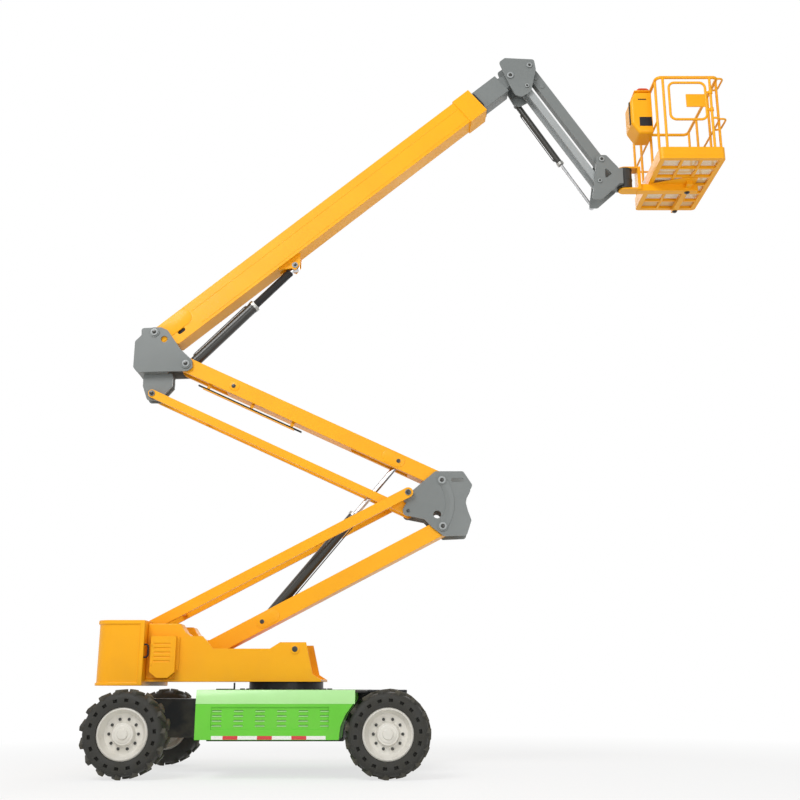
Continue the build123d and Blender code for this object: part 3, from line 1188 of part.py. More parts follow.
# Guard bar over the console, from the console's lid to the back rail
GUARD_Y = (CONSOLE_NEAR + CONSOLE_FAR) / 2
GUARD_FOOT = CONSOLE_SEAT - CONSOLE_DEPTH + 130
with BuildPart() as guard_bar:
    guard_path = [
        (GUARD_FOOT, GUARD_Y, CONSOLE_TOP + TOUCH),
        (GUARD_FOOT, GUARD_Y, FLOOR_Z + GUARD_HEIGHT),
        (BACK_X, GUARD_Y, FLOOR_Z + GUARD_HEIGHT),
        (BACK_X, GUARD_Y, RAIL_TOP + RAIL_RADIUS + TOUCH),
    ]
    tube(guard_path, GUARD_RADIUS, 40)
save(guard_bar, "guard_bar")
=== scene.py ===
"""Studio scene of an articulating boom lift.

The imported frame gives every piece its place. This file gives each surface its finish, rounds the
edges of the plates and adds the fittings, which ride on the frame's bodies.
"""

import json
import logging
from dataclasses import dataclass
from enum import Enum, IntEnum
from functools import lru_cache
from math import asin, cos, pi, radians, sin
from typing import Any, Sequence

import bmesh
import bpy
from bmesh.types import BMEdge, BMesh, BMVert
from mathutils import Matrix, Vector

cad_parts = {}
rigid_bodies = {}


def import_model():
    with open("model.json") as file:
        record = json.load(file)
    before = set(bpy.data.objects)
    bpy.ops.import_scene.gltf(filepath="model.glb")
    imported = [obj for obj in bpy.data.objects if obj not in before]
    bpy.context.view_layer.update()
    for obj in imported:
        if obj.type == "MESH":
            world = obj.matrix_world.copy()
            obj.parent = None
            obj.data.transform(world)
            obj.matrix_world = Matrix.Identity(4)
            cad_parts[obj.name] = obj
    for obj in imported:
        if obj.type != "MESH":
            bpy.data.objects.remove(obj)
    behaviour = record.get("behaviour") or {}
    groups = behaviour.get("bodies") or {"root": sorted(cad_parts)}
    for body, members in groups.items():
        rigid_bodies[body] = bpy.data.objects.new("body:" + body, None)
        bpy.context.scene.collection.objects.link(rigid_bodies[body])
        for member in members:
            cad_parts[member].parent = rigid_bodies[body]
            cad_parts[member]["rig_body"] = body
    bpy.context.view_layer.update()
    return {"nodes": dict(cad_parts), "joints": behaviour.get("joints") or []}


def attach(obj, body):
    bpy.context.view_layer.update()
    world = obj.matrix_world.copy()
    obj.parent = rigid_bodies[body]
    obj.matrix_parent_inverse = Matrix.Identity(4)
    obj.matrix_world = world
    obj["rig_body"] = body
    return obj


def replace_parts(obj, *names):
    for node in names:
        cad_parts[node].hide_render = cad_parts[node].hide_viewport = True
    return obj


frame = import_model()
LOG = logging.getLogger("boom_lift")

Colour = tuple[float, float, float, float]
Point = tuple[float, float, float]
Settings = dict[str, Any] | None
Sockets = dict[Any, Any] | None
JOINTS: dict[str, dict[str, Any]] = {joint["name"]: joint for joint in frame["joints"]}
MM = 0.001
RIM_BEND = 65.0
WHITE: Colour = (1.0, 1.0, 1.0, 1.0)
shift = Matrix.Translation


def pivot(name: str) -> Vector:
    """Give the place of a joint's axis at rest.

    Args:
        name: The joint's name in the record.

    Returns:
        The point on the axis, in metres.
    """
    return Vector(JOINTS[name]["pos_m"])


SLEW_X: float = pivot("slew").x


def at(x: float, z: float, y: float = 0.0) -> Vector:
    """Turn a place measured in millimetres from the slew axis into the frame's metres.

    Args:
        x: Distance in front of the slew axis.
        z: Height above the ground.
        y: Distance to the far side.

    Returns:
        The same place in the frame.
    """
    return Vector((SLEW_X + x * MM, y * MM, z * MM))


def srgb(red: int, green: int, blue: int) -> Colour:
    """Turn an eight-bit display colour into the linear one that shaders take.

    Args:
        red: Red from 0 to 255.
        green: Green from 0 to 255.
        blue: Blue from 0 to 255.

    Returns:
        The linear colour with full alpha.
    """
    shares = (red / 255, green / 255, blue / 255)
    linear = [((c + 0.055) / 1.055) ** 2.4 if c > 0.04045 else c / 12.92 for c in shares]
    return (linear[0], linear[1], linear[2], 1.0)


DUST = srgb(150, 138, 112)
TARNISH = srgb(96, 92, 86)
CELL_RIB = srgb(205, 200, 196)
PAPER = srgb(244, 244, 243)


class Side(IntEnum):
    """The two sides of the machine, by the sign of Y."""

    NEAR = -1
    FAR = 1


class Slot(str, Enum):
    """The record's material slots."""

    TYRE = "tyre"
    RIM = "rim"
    BLACK = "frame_black"
    GREEN = "green"
    AMBER = "yellow"
    GREY = "grey"
    LIGHT_GREY = "light_grey"
    STEEL = "steel"
    RAM = "ram_black"
    BOOT = "boot"
    MESH = "mesh"
    GUARD = "guard_red"


class Value:
    """A node's output that takes part in Python arithmetic."""

    def __init__(self, graph: "Graph", socket: bpy.types.NodeSocket) -> None:
        """Hold the socket and the graph it belongs to."""
        self.graph = graph
        self.socket = socket

    def _math(self, operation: str, first: Any, second: Any) -> "Value":
        """Add one Math node and give its result."""
        made = self.graph.node("ShaderNodeMath", {"operation": operation}, {0: first, 1: second})
        return Value(self.graph, made.outputs[0])

    def __add__(self, other: Any) -> "Value":
        """Sum."""
        return self._math("ADD", self, other)

    def __sub__(self, other: Any) -> "Value":
        """Difference."""
        return self._math("SUBTRACT", self, other)

    def __rsub__(self, other: Any) -> "Value":
        """Difference from a number on the left."""
        return self._math("SUBTRACT", other, self)

    def __mul__(self, other: Any) -> "Value":
        """Product."""
        return self._math("MULTIPLY", self, other)

    def __gt__(self, edge: Any) -> "Value":
        """One where the value is over the edge, or else nought."""
        return self._math("GREATER_THAN", self, edge)

    __radd__ = __add__
    __rmul__ = __mul__


class Graph:
    """The node tree of one material or world, built node by node."""

    def __init__(self, tree: bpy.types.NodeTree) -> None:
        """Take an empty tree.

        Args:
            tree: The tree to fill; nodes that Blender put there are removed.
        """
        self.tree = tree
        tree.nodes.clear()

    def node(self, kind: str, settings: Settings = None, sockets: Sockets = None) -> bpy.types.Node:
        """Make a node of any type.

        Args:
            kind: The node's type name.
            settings: Properties that are set first.
            sockets: Values or links of the inputs, by name or number.

        Returns:
            The new node.
        """
        made = self.tree.nodes.new(kind)
        for key, value in (settings or {}).items():
            setattr(made, key, value)
        for key, value in (sockets or {}).items():
            if isinstance(value, Value):
                self.tree.links.new(value.socket, made.inputs[key])
            else:
                made.inputs[key].default_value = value
        return made

    def value(self, kind: str, output: Any, settings: Settings = None, sockets: Sockets = None) -> Value:
        """Make a node and give one of its outputs.

        Args:
            kind: The node's type name.
            output: Name or number of the output.
            settings: As for node().
            sockets: As for node().

        Returns:
            The output, ready for arithmetic.
        """
        return Value(self, self.node(kind, settings, sockets).outputs[output])

    def place(self) -> Value:
        """Give the Object coordinates, which are the frame's metres."""
        return self.value("ShaderNodeTexCoord", "Object")

    def noise(self, scale: float, detail: float, stretch: Point = (1.0, 1.0, 1.0)) -> Value:
        """Give a noise over Object coordinates.

        Args:
            scale: Waves per metre.
            detail: Octaves of finer noise.
            stretch: Share of the scale along X, Y and Z.

        Returns:
            A value about 0.5.
        """
        where = self.value("ShaderNodeMapping", 0, None, {"Vector": self.place(), "Scale": stretch})
        sockets = {"Vector": where, "Scale": scale, "Detail": detail}
        return self.value("ShaderNodeTexNoise", "Fac", None, sockets)

    def ramp(self, value: Value, low: float, high: float) -> Value:
        """Stretch a value so that low gives nought and high gives one.

        Args:
            value: What to stretch.
            low: Value that becomes nought.
            high: Value that becomes one.

        Returns:
            The stretched value, clamped.
        """
        sockets = {"Value": value, "From Min": low, "From Max": high}
        return self.value("ShaderNodeMapRange", 0, {"clamp": True}, sockets)

    def blend(self, fac: Value, first: Any, second: Any) -> Value:
        """Mix two colours.

        Args:
            fac: Nought for the first colour, one for the second.
            first: A colour or a link.
            second: A colour or a link.

        Returns:
            The mixed colour.
        """
        return self.value("ShaderNodeMix", 2, {"data_type": "RGBA"}, {0: fac, 6: first, 7: second})

    def bump(self, height: Value, depth: float, strength: float) -> Value:
        """Turn a height into a normal.

        Args:
            height: Height from nought to one.
            depth: Real depth in metres.
            strength: Share of the effect.

        Returns:
            The normal.
        """
        sockets = {"Strength": strength, "Distance": depth, "Height": height}
        return self.value("ShaderNodeBump", 0, None, sockets)

    def surface(self, **sockets: Any) -> None:
        """Close the tree with a Principled shader.

        Args:
            sockets: Inputs of the shader, with _ for a space in the name.
        """
        named = {key.replace("_", " "): value for key, value in sockets.items()}
        shader = self.value("ShaderNodeBsdfPrincipled", 0, None, named)
        self.node("ShaderNodeOutputMaterial", None, {"Surface": shader})


@dataclass(frozen=True)
class Finish:
    """What every finish has: a name and a slot of the record."""

    name: str
    slot: Slot

    def shade(self, graph: Graph) -> None:
        """Fill the material's tree."""
        raise NotImplementedError

    def material(self) -> bpy.types.Material:
        """Give the material, made once for each finish."""
        return made_material(self)


@lru_cache(maxsize=None)
def made_material(finish: Finish) -> bpy.types.Material:
    """Make the material of a finish.

    Args:
        finish: The finish to make.

    Returns:
        Its material.
    """
    material = bpy.data.materials.new(finish.name)
    material.use_nodes = True
    finish.shade(Graph(material.node_tree))
    return material


@dataclass(frozen=True)
class Paint(Finish):
    """Sprayed enamel with a faint orange peel, cloudy tone and dust that gathers low down."""

    colour: Colour
    deep: Colour
    roughness: float = 0.42
    coat: float = 0.1
    dust: float = 0.12
    gloss: float = 0.3

    def shade(self, graph: Graph) -> None:
        """Fill the tree: cloudy colour, dust near the ground, peel as bump."""
        cloud = graph.ramp(graph.noise(1.7, 4.0), 0.35, 0.7)
        specks = graph.ramp(graph.noise(60.0, 5.0), 0.62, 0.75)
        tone = graph.blend(cloud * 0.6, self.colour, self.deep)
        height = graph.value("ShaderNodeSeparateXYZ", "Z", None, {0: graph.place()})
        low = 1 - graph.ramp(height, 0.1, 1.2)
        dusty = (low * 0.7 + 0.1) * graph.ramp(graph.noise(6.0, 6.0), 0.45, 0.75) * self.dust
        tone = graph.blend(dusty + specks * 0.03, tone, DUST)
        rough = self.roughness + cloud * 0.06 + dusty * 0.5
        peel = graph.bump(graph.noise(260.0, 2.0), 0.0001, 0.25)
        graph.surface(
            Base_Color=tone, Roughness=rough, Normal=peel, Specular_IOR_Level=self.gloss,
            Coat_Weight=self.coat, Coat_Roughness=0.12,
        )


@dataclass(frozen=True)
class Rubber(Finish):
    """Black rubber that is paler where its attribute says so: partly dust, partly a painted sheen."""

    colour: Colour
    dusty_sheen: Colour
    roughness: float

    def shade(self, graph: Graph) -> None:
        """Fill the tree: dust and painted sheen by attribute and noise, fine grain as bump."""
        dust_and_sheen = graph.value("ShaderNodeAttribute", "Fac", {"attribute_name": "dust_and_sheen"})
        patch = graph.ramp(graph.noise(9.0, 6.0), 0.36, 0.66)
        tone = graph.blend(dust_and_sheen * (patch * 0.75 + 0.25), self.colour, self.dusty_sheen)
        grain = graph.bump(graph.noise(340.0, 3.0), 0.0006, 0.5)
        graph.surface(Base_Color=tone, Roughness=self.roughness + patch * 0.15, Normal=grain)


@dataclass(frozen=True)
class Metal(Finish):
    """Bare or plated steel with smudges and fine scratches."""

    colour: Colour
    roughness: float

    def shade(self, graph: Graph) -> None:
        """Fill the tree: smudged roughness and faint scratches."""
        smudge = graph.ramp(graph.noise(14.0, 5.0), 0.35, 0.7)
        scratch = graph.bump(graph.noise(420.0, 2.0, (1.0, 0.08, 1.0)), 0.0003, 0.3)
        tone = graph.blend(smudge * 0.35, self.colour, TARNISH)
        rough = self.roughness + smudge * 0.15
        graph.surface(Base_Color=tone, Metallic=1.0, Roughness=rough, Normal=scratch)


@dataclass(frozen=True)
class Tape(Finish):
    """Reflective tape with its pattern of small cells."""

    colour: Colour

    def shade(self, graph: Graph) -> None:
        """Fill the tree: honeycomb cells in the colour and in the bump."""
        sockets = {"Vector": graph.place(), "Scale": 160.0}
        cells = graph.value("ShaderNodeTexVoronoi", "Distance", {"feature": "DISTANCE_TO_EDGE"}, sockets)
        rib = 1 - graph.ramp(cells, 0.02, 0.09)
        tone = graph.blend(rib * 0.12, self.colour, CELL_RIB)
        graph.surface(Base_Color=tone, Roughness=0.3, Normal=graph.bump(rib, 0.0003, 0.4), Coat_Weight=0.6)


# Paint takes colour, deeper colour, roughness, coat and dust; Rubber and Metal take roughness last.
AMBER = Paint("amber_paint", Slot.AMBER, srgb(252, 176, 6), srgb(245, 165, 4))
GREEN = Paint("lime_paint", Slot.GREEN, srgb(106, 203, 58), srgb(96, 190, 50))
# Pale lime is painted light: a painted highlight on the louvre blades and a painted reflection of the sky
# on the covers' top bands.
PAINTED_LIGHT_GREEN = Paint("lime_painted_light", Slot.GREEN, srgb(178, 230, 156), srgb(166, 222, 142), 0.3, 0.3)
GREY = Paint("bracket_grey_paint", Slot.GREY, srgb(124, 128, 127), srgb(113, 117, 116), 0.42, 0.15)
LIGHT_GREY = Paint("link_grey_paint", Slot.LIGHT_GREY, srgb(162, 166, 166), srgb(150, 154, 154), 0.4, 0.15)
BLACK = Paint("frame_black_paint", Slot.BLACK, srgb(30, 31, 33), srgb(24, 25, 26), 0.42, 0.15, 0.25)
CREAM = Paint("rim_cream_paint", Slot.RIM, srgb(222, 219, 211), srgb(211, 207, 196), 0.4, 0.15, 0.3)
RAM = Paint("ram_black_paint", Slot.RAM, srgb(52, 52, 48), srgb(42, 42, 40), 0.28, 0.4)
PLASTIC = Paint("black_plastic", Slot.BOOT, srgb(26, 26, 27), srgb(22, 22, 23), 0.5, 0.0)
# The tyre's second colour is khaki: dust and a painted sheen on the tops of the lugs.
TYRE = Rubber("tyre_rubber", Slot.TYRE, srgb(34, 34, 31), srgb(92, 87, 72), 0.65)
BOOT = Rubber("boot_rubber", Slot.BOOT, srgb(33, 33, 33), srgb(60, 60, 58), 0.52)
STEEL = Metal("pin_steel", Slot.STEEL, srgb(178, 178, 174), 0.34)
CHROME = Metal("rod_chrome", Slot.STEEL, srgb(205, 206, 208), 0.14)
MESH = Paint("mesh_cream_paint", Slot.MESH, srgb(226, 205, 160), srgb(214, 190, 142), 0.45, 0.1)
GUARD = Paint("guard_red_paint", Slot.GUARD, srgb(224, 88, 40), srgb(210, 76, 30), 0.4, 0.2)
WHITE_TAPE = Tape("white_tape", Slot.STEEL, srgb(238, 236, 232))
RED_TAPE = Tape("red_tape", Slot.STEEL, srgb(206, 14, 20))


def linked(name: str, data: bpy.types.ID) -> bpy.types.Object:
    """Make an object and put it into the scene.

    Args:
        name: Its name.
        data: Its mesh, camera or lamp.

    Returns:
        The new object.
    """
    made = bpy.data.objects.new(name, data)
    bpy.context.scene.collection.objects.link(made)
    return made


class Form:
    """A mesh that is shaped with bmesh operators, in metres."""

    def __init__(self) -> None:
        """Start with nothing."""
        self.mesh = bmesh.new()

    def take(self, piece: BMesh, move: Matrix | None = None) -> "Form":
        """Add a shaped piece and free it.

        Args:
            piece: The piece to add.
            move: Where to put it.

        Returns:
            This form.
        """
        bmesh.ops.transform(piece, matrix=move or Matrix.Identity(4), verts=piece.verts[:])
        bmesh.ops.recalc_face_normals(piece, faces=piece.faces[:])
        carrier = bpy.data.meshes.new("carrier")
        piece.to_mesh(carrier)
        piece.free()
        self.mesh.from_mesh(carrier)
        bpy.data.meshes.remove(carrier)
        return self

    def put(self, piece: BMesh, x: float, z: float, y: float) -> "Form":
        """Add a shaped piece at a place in millimetres.

        Args:
            piece: The piece to add.
            x, z, y: Its place, as at() takes it.

        Returns:
            This form.
        """
        return self.take(piece, shift(at(x, z, y)))

    def place(self, name: str, body: str, finish: Finish, sharp: float = 35.0) -> bpy.types.Object:
        """Make the object, let it ride on a body and give it its finish.

        Args:
            name: The object's name.
            body: The body that carries it.
            finish: Its finish.
            sharp: Angle in degrees over which an edge shades as a corner.

        Returns:
            The new object.
        """
        for face in self.mesh.faces:
            face.smooth = True
        for edge in self.mesh.edges:
            edge.smooth = edge.calc_face_angle(0.0) < radians(sharp)
        data = bpy.data.meshes.new(name)
        self.mesh.to_mesh(data)
        self.mesh.free()
        data.materials.append(finish.material())
        made = linked(name, data)
        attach(made, body)
        LOG.info("%s rides on %s, %d faces", name, body, len(data.polygons))
        return made


def new_verts(result: dict[str, list[Any]]) -> list[BMVert]:
    """Pick the new vertices out of what an extruding operator gives.

    Args:
        result: The operator's result.

    Returns:
        The vertices alone.
    """
    return [item for item in result["geom"] if isinstance(item, BMVert)]


def along(start: Vector, run: Vector) -> Matrix:
    """Give the matrix that puts a piece made along +Z at a place, along a direction.

    Args:
        start: Where the piece's origin goes.
        run: Where its +Z points.

    Returns:
        The placing matrix.
    """
    return shift(start) @ run.to_track_quat("Z", "Y").to_matrix().to_4x4()


def rounded(piece: BMesh, radius: float, segments: int = 2, over: float = 40.0) -> BMesh:
    """Round the corners of a piece.

    Args:
        piece: The piece to round.
        radius: Width of the rounding; nought leaves it sharp.
        segments: Faces across the rounding.
        over: Only edges that bend by more than this angle are rounded.

    Returns:
        The same piece.
    """
    if radius > 0:
        edges = [edge for edge in piece.edges if edge.calc_face_angle(0.0) > radians(over)]
        bmesh.ops.bevel(
            piece, geom=edges, offset=radius, offset_type="OFFSET", segments=segments, profile=0.5,
            affect="EDGES", clamp_overlap=True, material=-1,
        )
    return piece


def block(size: Point, radius: float = 0.0, segments: int = 2) -> BMesh:
    """Make a block about the origin.

    Args:
        size: Lengths along X, Y and Z.
        radius: Rounding of its edges.
        segments: Faces across the rounding.

    Returns:
        The block.
    """
    piece = bmesh.new()
    bmesh.ops.create_cube(piece, size=1.0)
    bmesh.ops.scale(piece, vec=size, verts=piece.verts[:])
    return rounded(piece, radius, segments)


def drum(radius: float, length: float, edge: float = 0.0, sides: int = 32) -> BMesh:
    """Make an upright drum that stands on the origin.

    Args:
        radius: Its radius.
        length: Its height.
        edge: Rounding of its rims.
        sides: Faces round it; six make a nut.

    Returns:
        The drum.
    """
    piece = bmesh.new()
    bmesh.ops.create_cone(
        piece, cap_ends=True, segments=sides, radius1=radius, radius2=radius, depth=length,
        matrix=shift((0, 0, length / 2)),
    )
    return rounded(piece, edge, over=RIM_BEND)


def lathe(profile: Sequence[tuple[float, float]], steps: int = 48) -> BMesh:
    """Turn a profile about the Z axis.

    Args:
        profile: Points as (radius, height); a closed outline repeats its first point.
        steps: Faces round the axis.

    Returns:
        The turned piece.
    """
    piece = bmesh.new()
    verts = [piece.verts.new((radius, 0, height)) for radius, height in profile]
    edges = [piece.edges.new(pair) for pair in zip(verts, verts[1:])]
    bmesh.ops.spin(
        piece, geom=verts + edges, cent=(0, 0, 0), axis=(0, 0, 1), dvec=(0, 0, 0),
        angle=2 * pi, steps=steps, use_merge=True, use_duplicate=False,
    )
    bmesh.ops.remove_doubles(piece, verts=piece.verts[:], dist=1e-6)
    return piece


def bent(corners: Sequence[Vector], bend: float, steps: int = 6) -> list[Vector]:
    """Round the corners of a path.

    Args:
        corners: The path's ends and corners.
        bend: How far from each corner its rounding starts.
        steps: Points on each rounding.

    Returns:
        The path with its rounded corners.
    """
    path = [corners[0]]
    for before, corner, after in zip(corners, corners[1:], corners[2:]):
        start = corner + (before - corner).normalized() * bend
        end = corner + (after - corner).normalized() * bend
        for step in range(steps + 1):
            share = step / steps
            path.append(start * (1 - share) ** 2 + corner * 2 * share * (1 - share) + end * share**2)
    return path + [corners[-1]]


def pipe(path: Sequence[Vector], radius: float, sides: int = 12) -> BMesh:
    """Make a round pipe along a path.

    Args:
        path: The points it runs through.
        radius: Its radius.
        sides: Faces round it.

    Returns:
        The pipe, closed at both ends.
    """
    runs = [(after - before).normalized() for before, after in zip(path, path[1:])]
    tangents = [runs[0]] + [(a + b).normalized() for a, b in zip(runs, runs[1:])] + [runs[-1]]
    turn = tangents[0].to_track_quat("Z", "Y")
    piece = bmesh.new()
    ring = bmesh.ops.create_circle(piece, cap_ends=True, segments=sides, radius=radius)["verts"]
    last = shift(path[0]) @ turn.to_matrix().to_4x4()
    bmesh.ops.transform(piece, matrix=last, verts=ring)
    edges = piece.edges[:]
    for tangent, before, point in zip(tangents[1:], tangents, path[1:]):
        turn = before.rotation_difference(tangent) @ turn
        here = shift(point) @ turn.to_matrix().to_4x4()
        grown = bmesh.ops.extrude_edge_only(piece, edges=edges)
        edges = [item for item in grown["geom"] if isinstance(item, BMEdge)]
        bmesh.ops.transform(piece, matrix=here @ last.inverted(), verts=new_verts(grown))
        last = here
    bmesh.ops.holes_fill(piece, edges=edges, sides=sides)
    return piece


def capsule(length: float, radius: float, thick: float) -> BMesh:
    """Make a plate with round ends, flat on XY, that runs from the origin along +X.

    Args:
        length: Distance between the centres of its ends.
        radius: Radius of its ends.
        thick: Thickness towards +Z.

    Returns:
        The plate.
    """
    piece = bmesh.new()
    outline = []
    for centre, first in ((length, -pi / 2), (0.0, pi / 2)):
        for step in range(13):
            turn = first + pi * step / 12
            outline.append(piece.verts.new((centre + radius * cos(turn), radius * sin(turn), 0)))
    face = piece.faces.new(outline)
    grown = bmesh.ops.extrude_face_region(piece, geom=[face])
    bmesh.ops.translate(piece, vec=(0, 0, thick), verts=new_verts(grown))
    bmesh.ops.recalc_face_normals(piece, faces=piece.faces[:])
    return rounded(piece, 0.0015, over=RIM_BEND)


def outward(place: Vector, reach: float, side: Side) -> Matrix:
    """Give the matrix that stands a piece made along +Z on a side face.

    Args:
        place: Where it stands; only x and z count.
        reach: Distance of the face from the middle.
        side: The side that it faces.

    Returns:
        The placing matrix.
    """
    return along(Vector((place.x, side * reach, place.z)), Vector((0, side, 0)))


@dataclass(frozen=True)
class Beam:
    """A straight member with its own axes: along it, across to the far side, and up."""

    start: Vector
    end: Vector

    @property
    def axes(self) -> Matrix:
        """Give the matrix from the member's axes to the frame's."""
        run = (self.end - self.start).normalized()
        across = Vector((0, 1, 0))
        basis = Matrix((run, across, run.cross(across))).transposed().to_4x4()
        return shift(self.start) @ basis

    @property
    def length(self) -> float:
        """Give the distance between the member's pins."""
        return (self.end - self.start).length

    def spot(self, ahead: float, across: float, up: float) -> Vector:
        """Give a place on the member in the frame's axes.

        Args:
            ahead: Distance from its start.
            across: Distance to the far side.
            up: Distance over its axis.

        Returns:
            The place.
        """
        return self.axes @ Vector((ahead, across, up))

    def on_face(self, ahead: float, up: float, reach: float, side: Side) -> Matrix:
        """Give the matrix that lays a flat piece on a side face, with its +X along the member.

        Args:
            ahead: Distance from the member's start.
            up: Distance over its axis.
            reach: Distance of the face from the middle.
            side: Which face.

        Returns:
            The placing matrix.
        """
        turn = Matrix.Rotation(-side * pi / 2, 4, "X")
        return self.axes @ shift((ahead, side * reach, up)) @ turn


@dataclass(frozen=True)
class Dress:
    """How some of the frame's nodes are shown: their names, their finish and their edges' rounding."""

    nodes: str
    finish: Finish
    radius: float = 0.004


@dataclass(frozen=True)
class Plates:
    """The frame's own nodes, each shown by a copy with rounded edges and its finish."""

    merge: float = 2e-5
    flat: float = radians(0.4)
    bend: float = radians(38)
    dresses: tuple[Dress, ...] = (
        Dress("chassis_frame", BLACK, 0.006),
        Dress("deck", BLACK),
        Dress("cover_near cover_far", GREEN, 0.006),
        Dress("slew_ring", BLACK, 0.005),
        Dress("fixed_axle steer_axle", BLACK),
        Dress("battery", BLACK, 0.008),
        Dress("knuckle_near knuckle_far", BLACK),
        Dress("turntable", AMBER, 0.003),
        Dress("counterweight hood_near hood_far", AMBER, 0.012),
        Dress("control_box", AMBER, 0.008),
        Dress("lower_arm lower_links", AMBER),
        Dress("elbow", GREY, 0.003),
        Dress("riser_barrel", RAM),
        Dress("riser_rod", CHROME),
        Dress("upper_arm upper_links", AMBER),
        Dress("mast", GREY, 0.003),
        Dress("boom", AMBER, 0.006),
        Dress("boom_barrel", RAM),
        Dress("boom_rod", CHROME),
        Dress("fly", GREY, 0.006),
        Dress("jib_base", GREY, 0.003),
        Dress("jib_beam", GREY, 0.005),
        Dress("jib_links", LIGHT_GREY, 0.005),
        Dress("jib_end", GREY, 0.003),
        Dress("jib_barrel", RAM),
        Dress("jib_rod", CHROME),
        Dress("basket_support", AMBER),
        Dress("basket_floor toe_board", AMBER, 0.002),
        Dress("basket_rails gate console", AMBER, 0.0),
        Dress("hose_tray", AMBER, 0.002),
        Dress("tray_hoses", PLASTIC, 0.0),
        Dress("guard_bar", GUARD, 0.0),
        Dress("rim_steer_near rim_steer_far rim_fixed_near rim_fixed_far", CREAM),
    )

    def show(self, node: str, dress: Dress) -> None:
        """Show one node by a copy with rounded edges.

        Args:
            node: The frame's node.
            dress: Its finish and rounding.
        """
        source = frame["nodes"][node]
        form = Form()
        mesh = form.mesh
        mesh.from_mesh(source.data)
        bmesh.ops.remove_doubles(mesh, verts=mesh.verts[:], dist=self.merge)
        bmesh.ops.dissolve_degenerate(mesh, dist=self.merge, edges=mesh.edges[:])
        if dress.radius > 0:
            bmesh.ops.dissolve_limit(
                mesh, angle_limit=self.flat, use_dissolve_boundaries=False,
                verts=mesh.verts[:], edges=mesh.edges[:], delimit={"NORMAL"},
            )
        made = form.place(f"{node}_shell", source["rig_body"], dress.finish)
        if dress.radius > 0:
            bevel = made.modifiers.new("edges", "BEVEL")
            bevel.width = dress.radius
            bevel.segments = 2
            bevel.limit_method = "ANGLE"
            bevel.angle_limit = self.bend
            bevel.use_clamp_overlap = True
        made.modifiers.new("flats", "WEIGHTED_NORMAL").keep_sharp = dress.radius == 0
        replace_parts(made, node)

    def build(self) -> None:
        """Show every node that has a finish here."""
        for dress in self.dresses:
            for node in dress.nodes.split():
                self.show(node, dress)


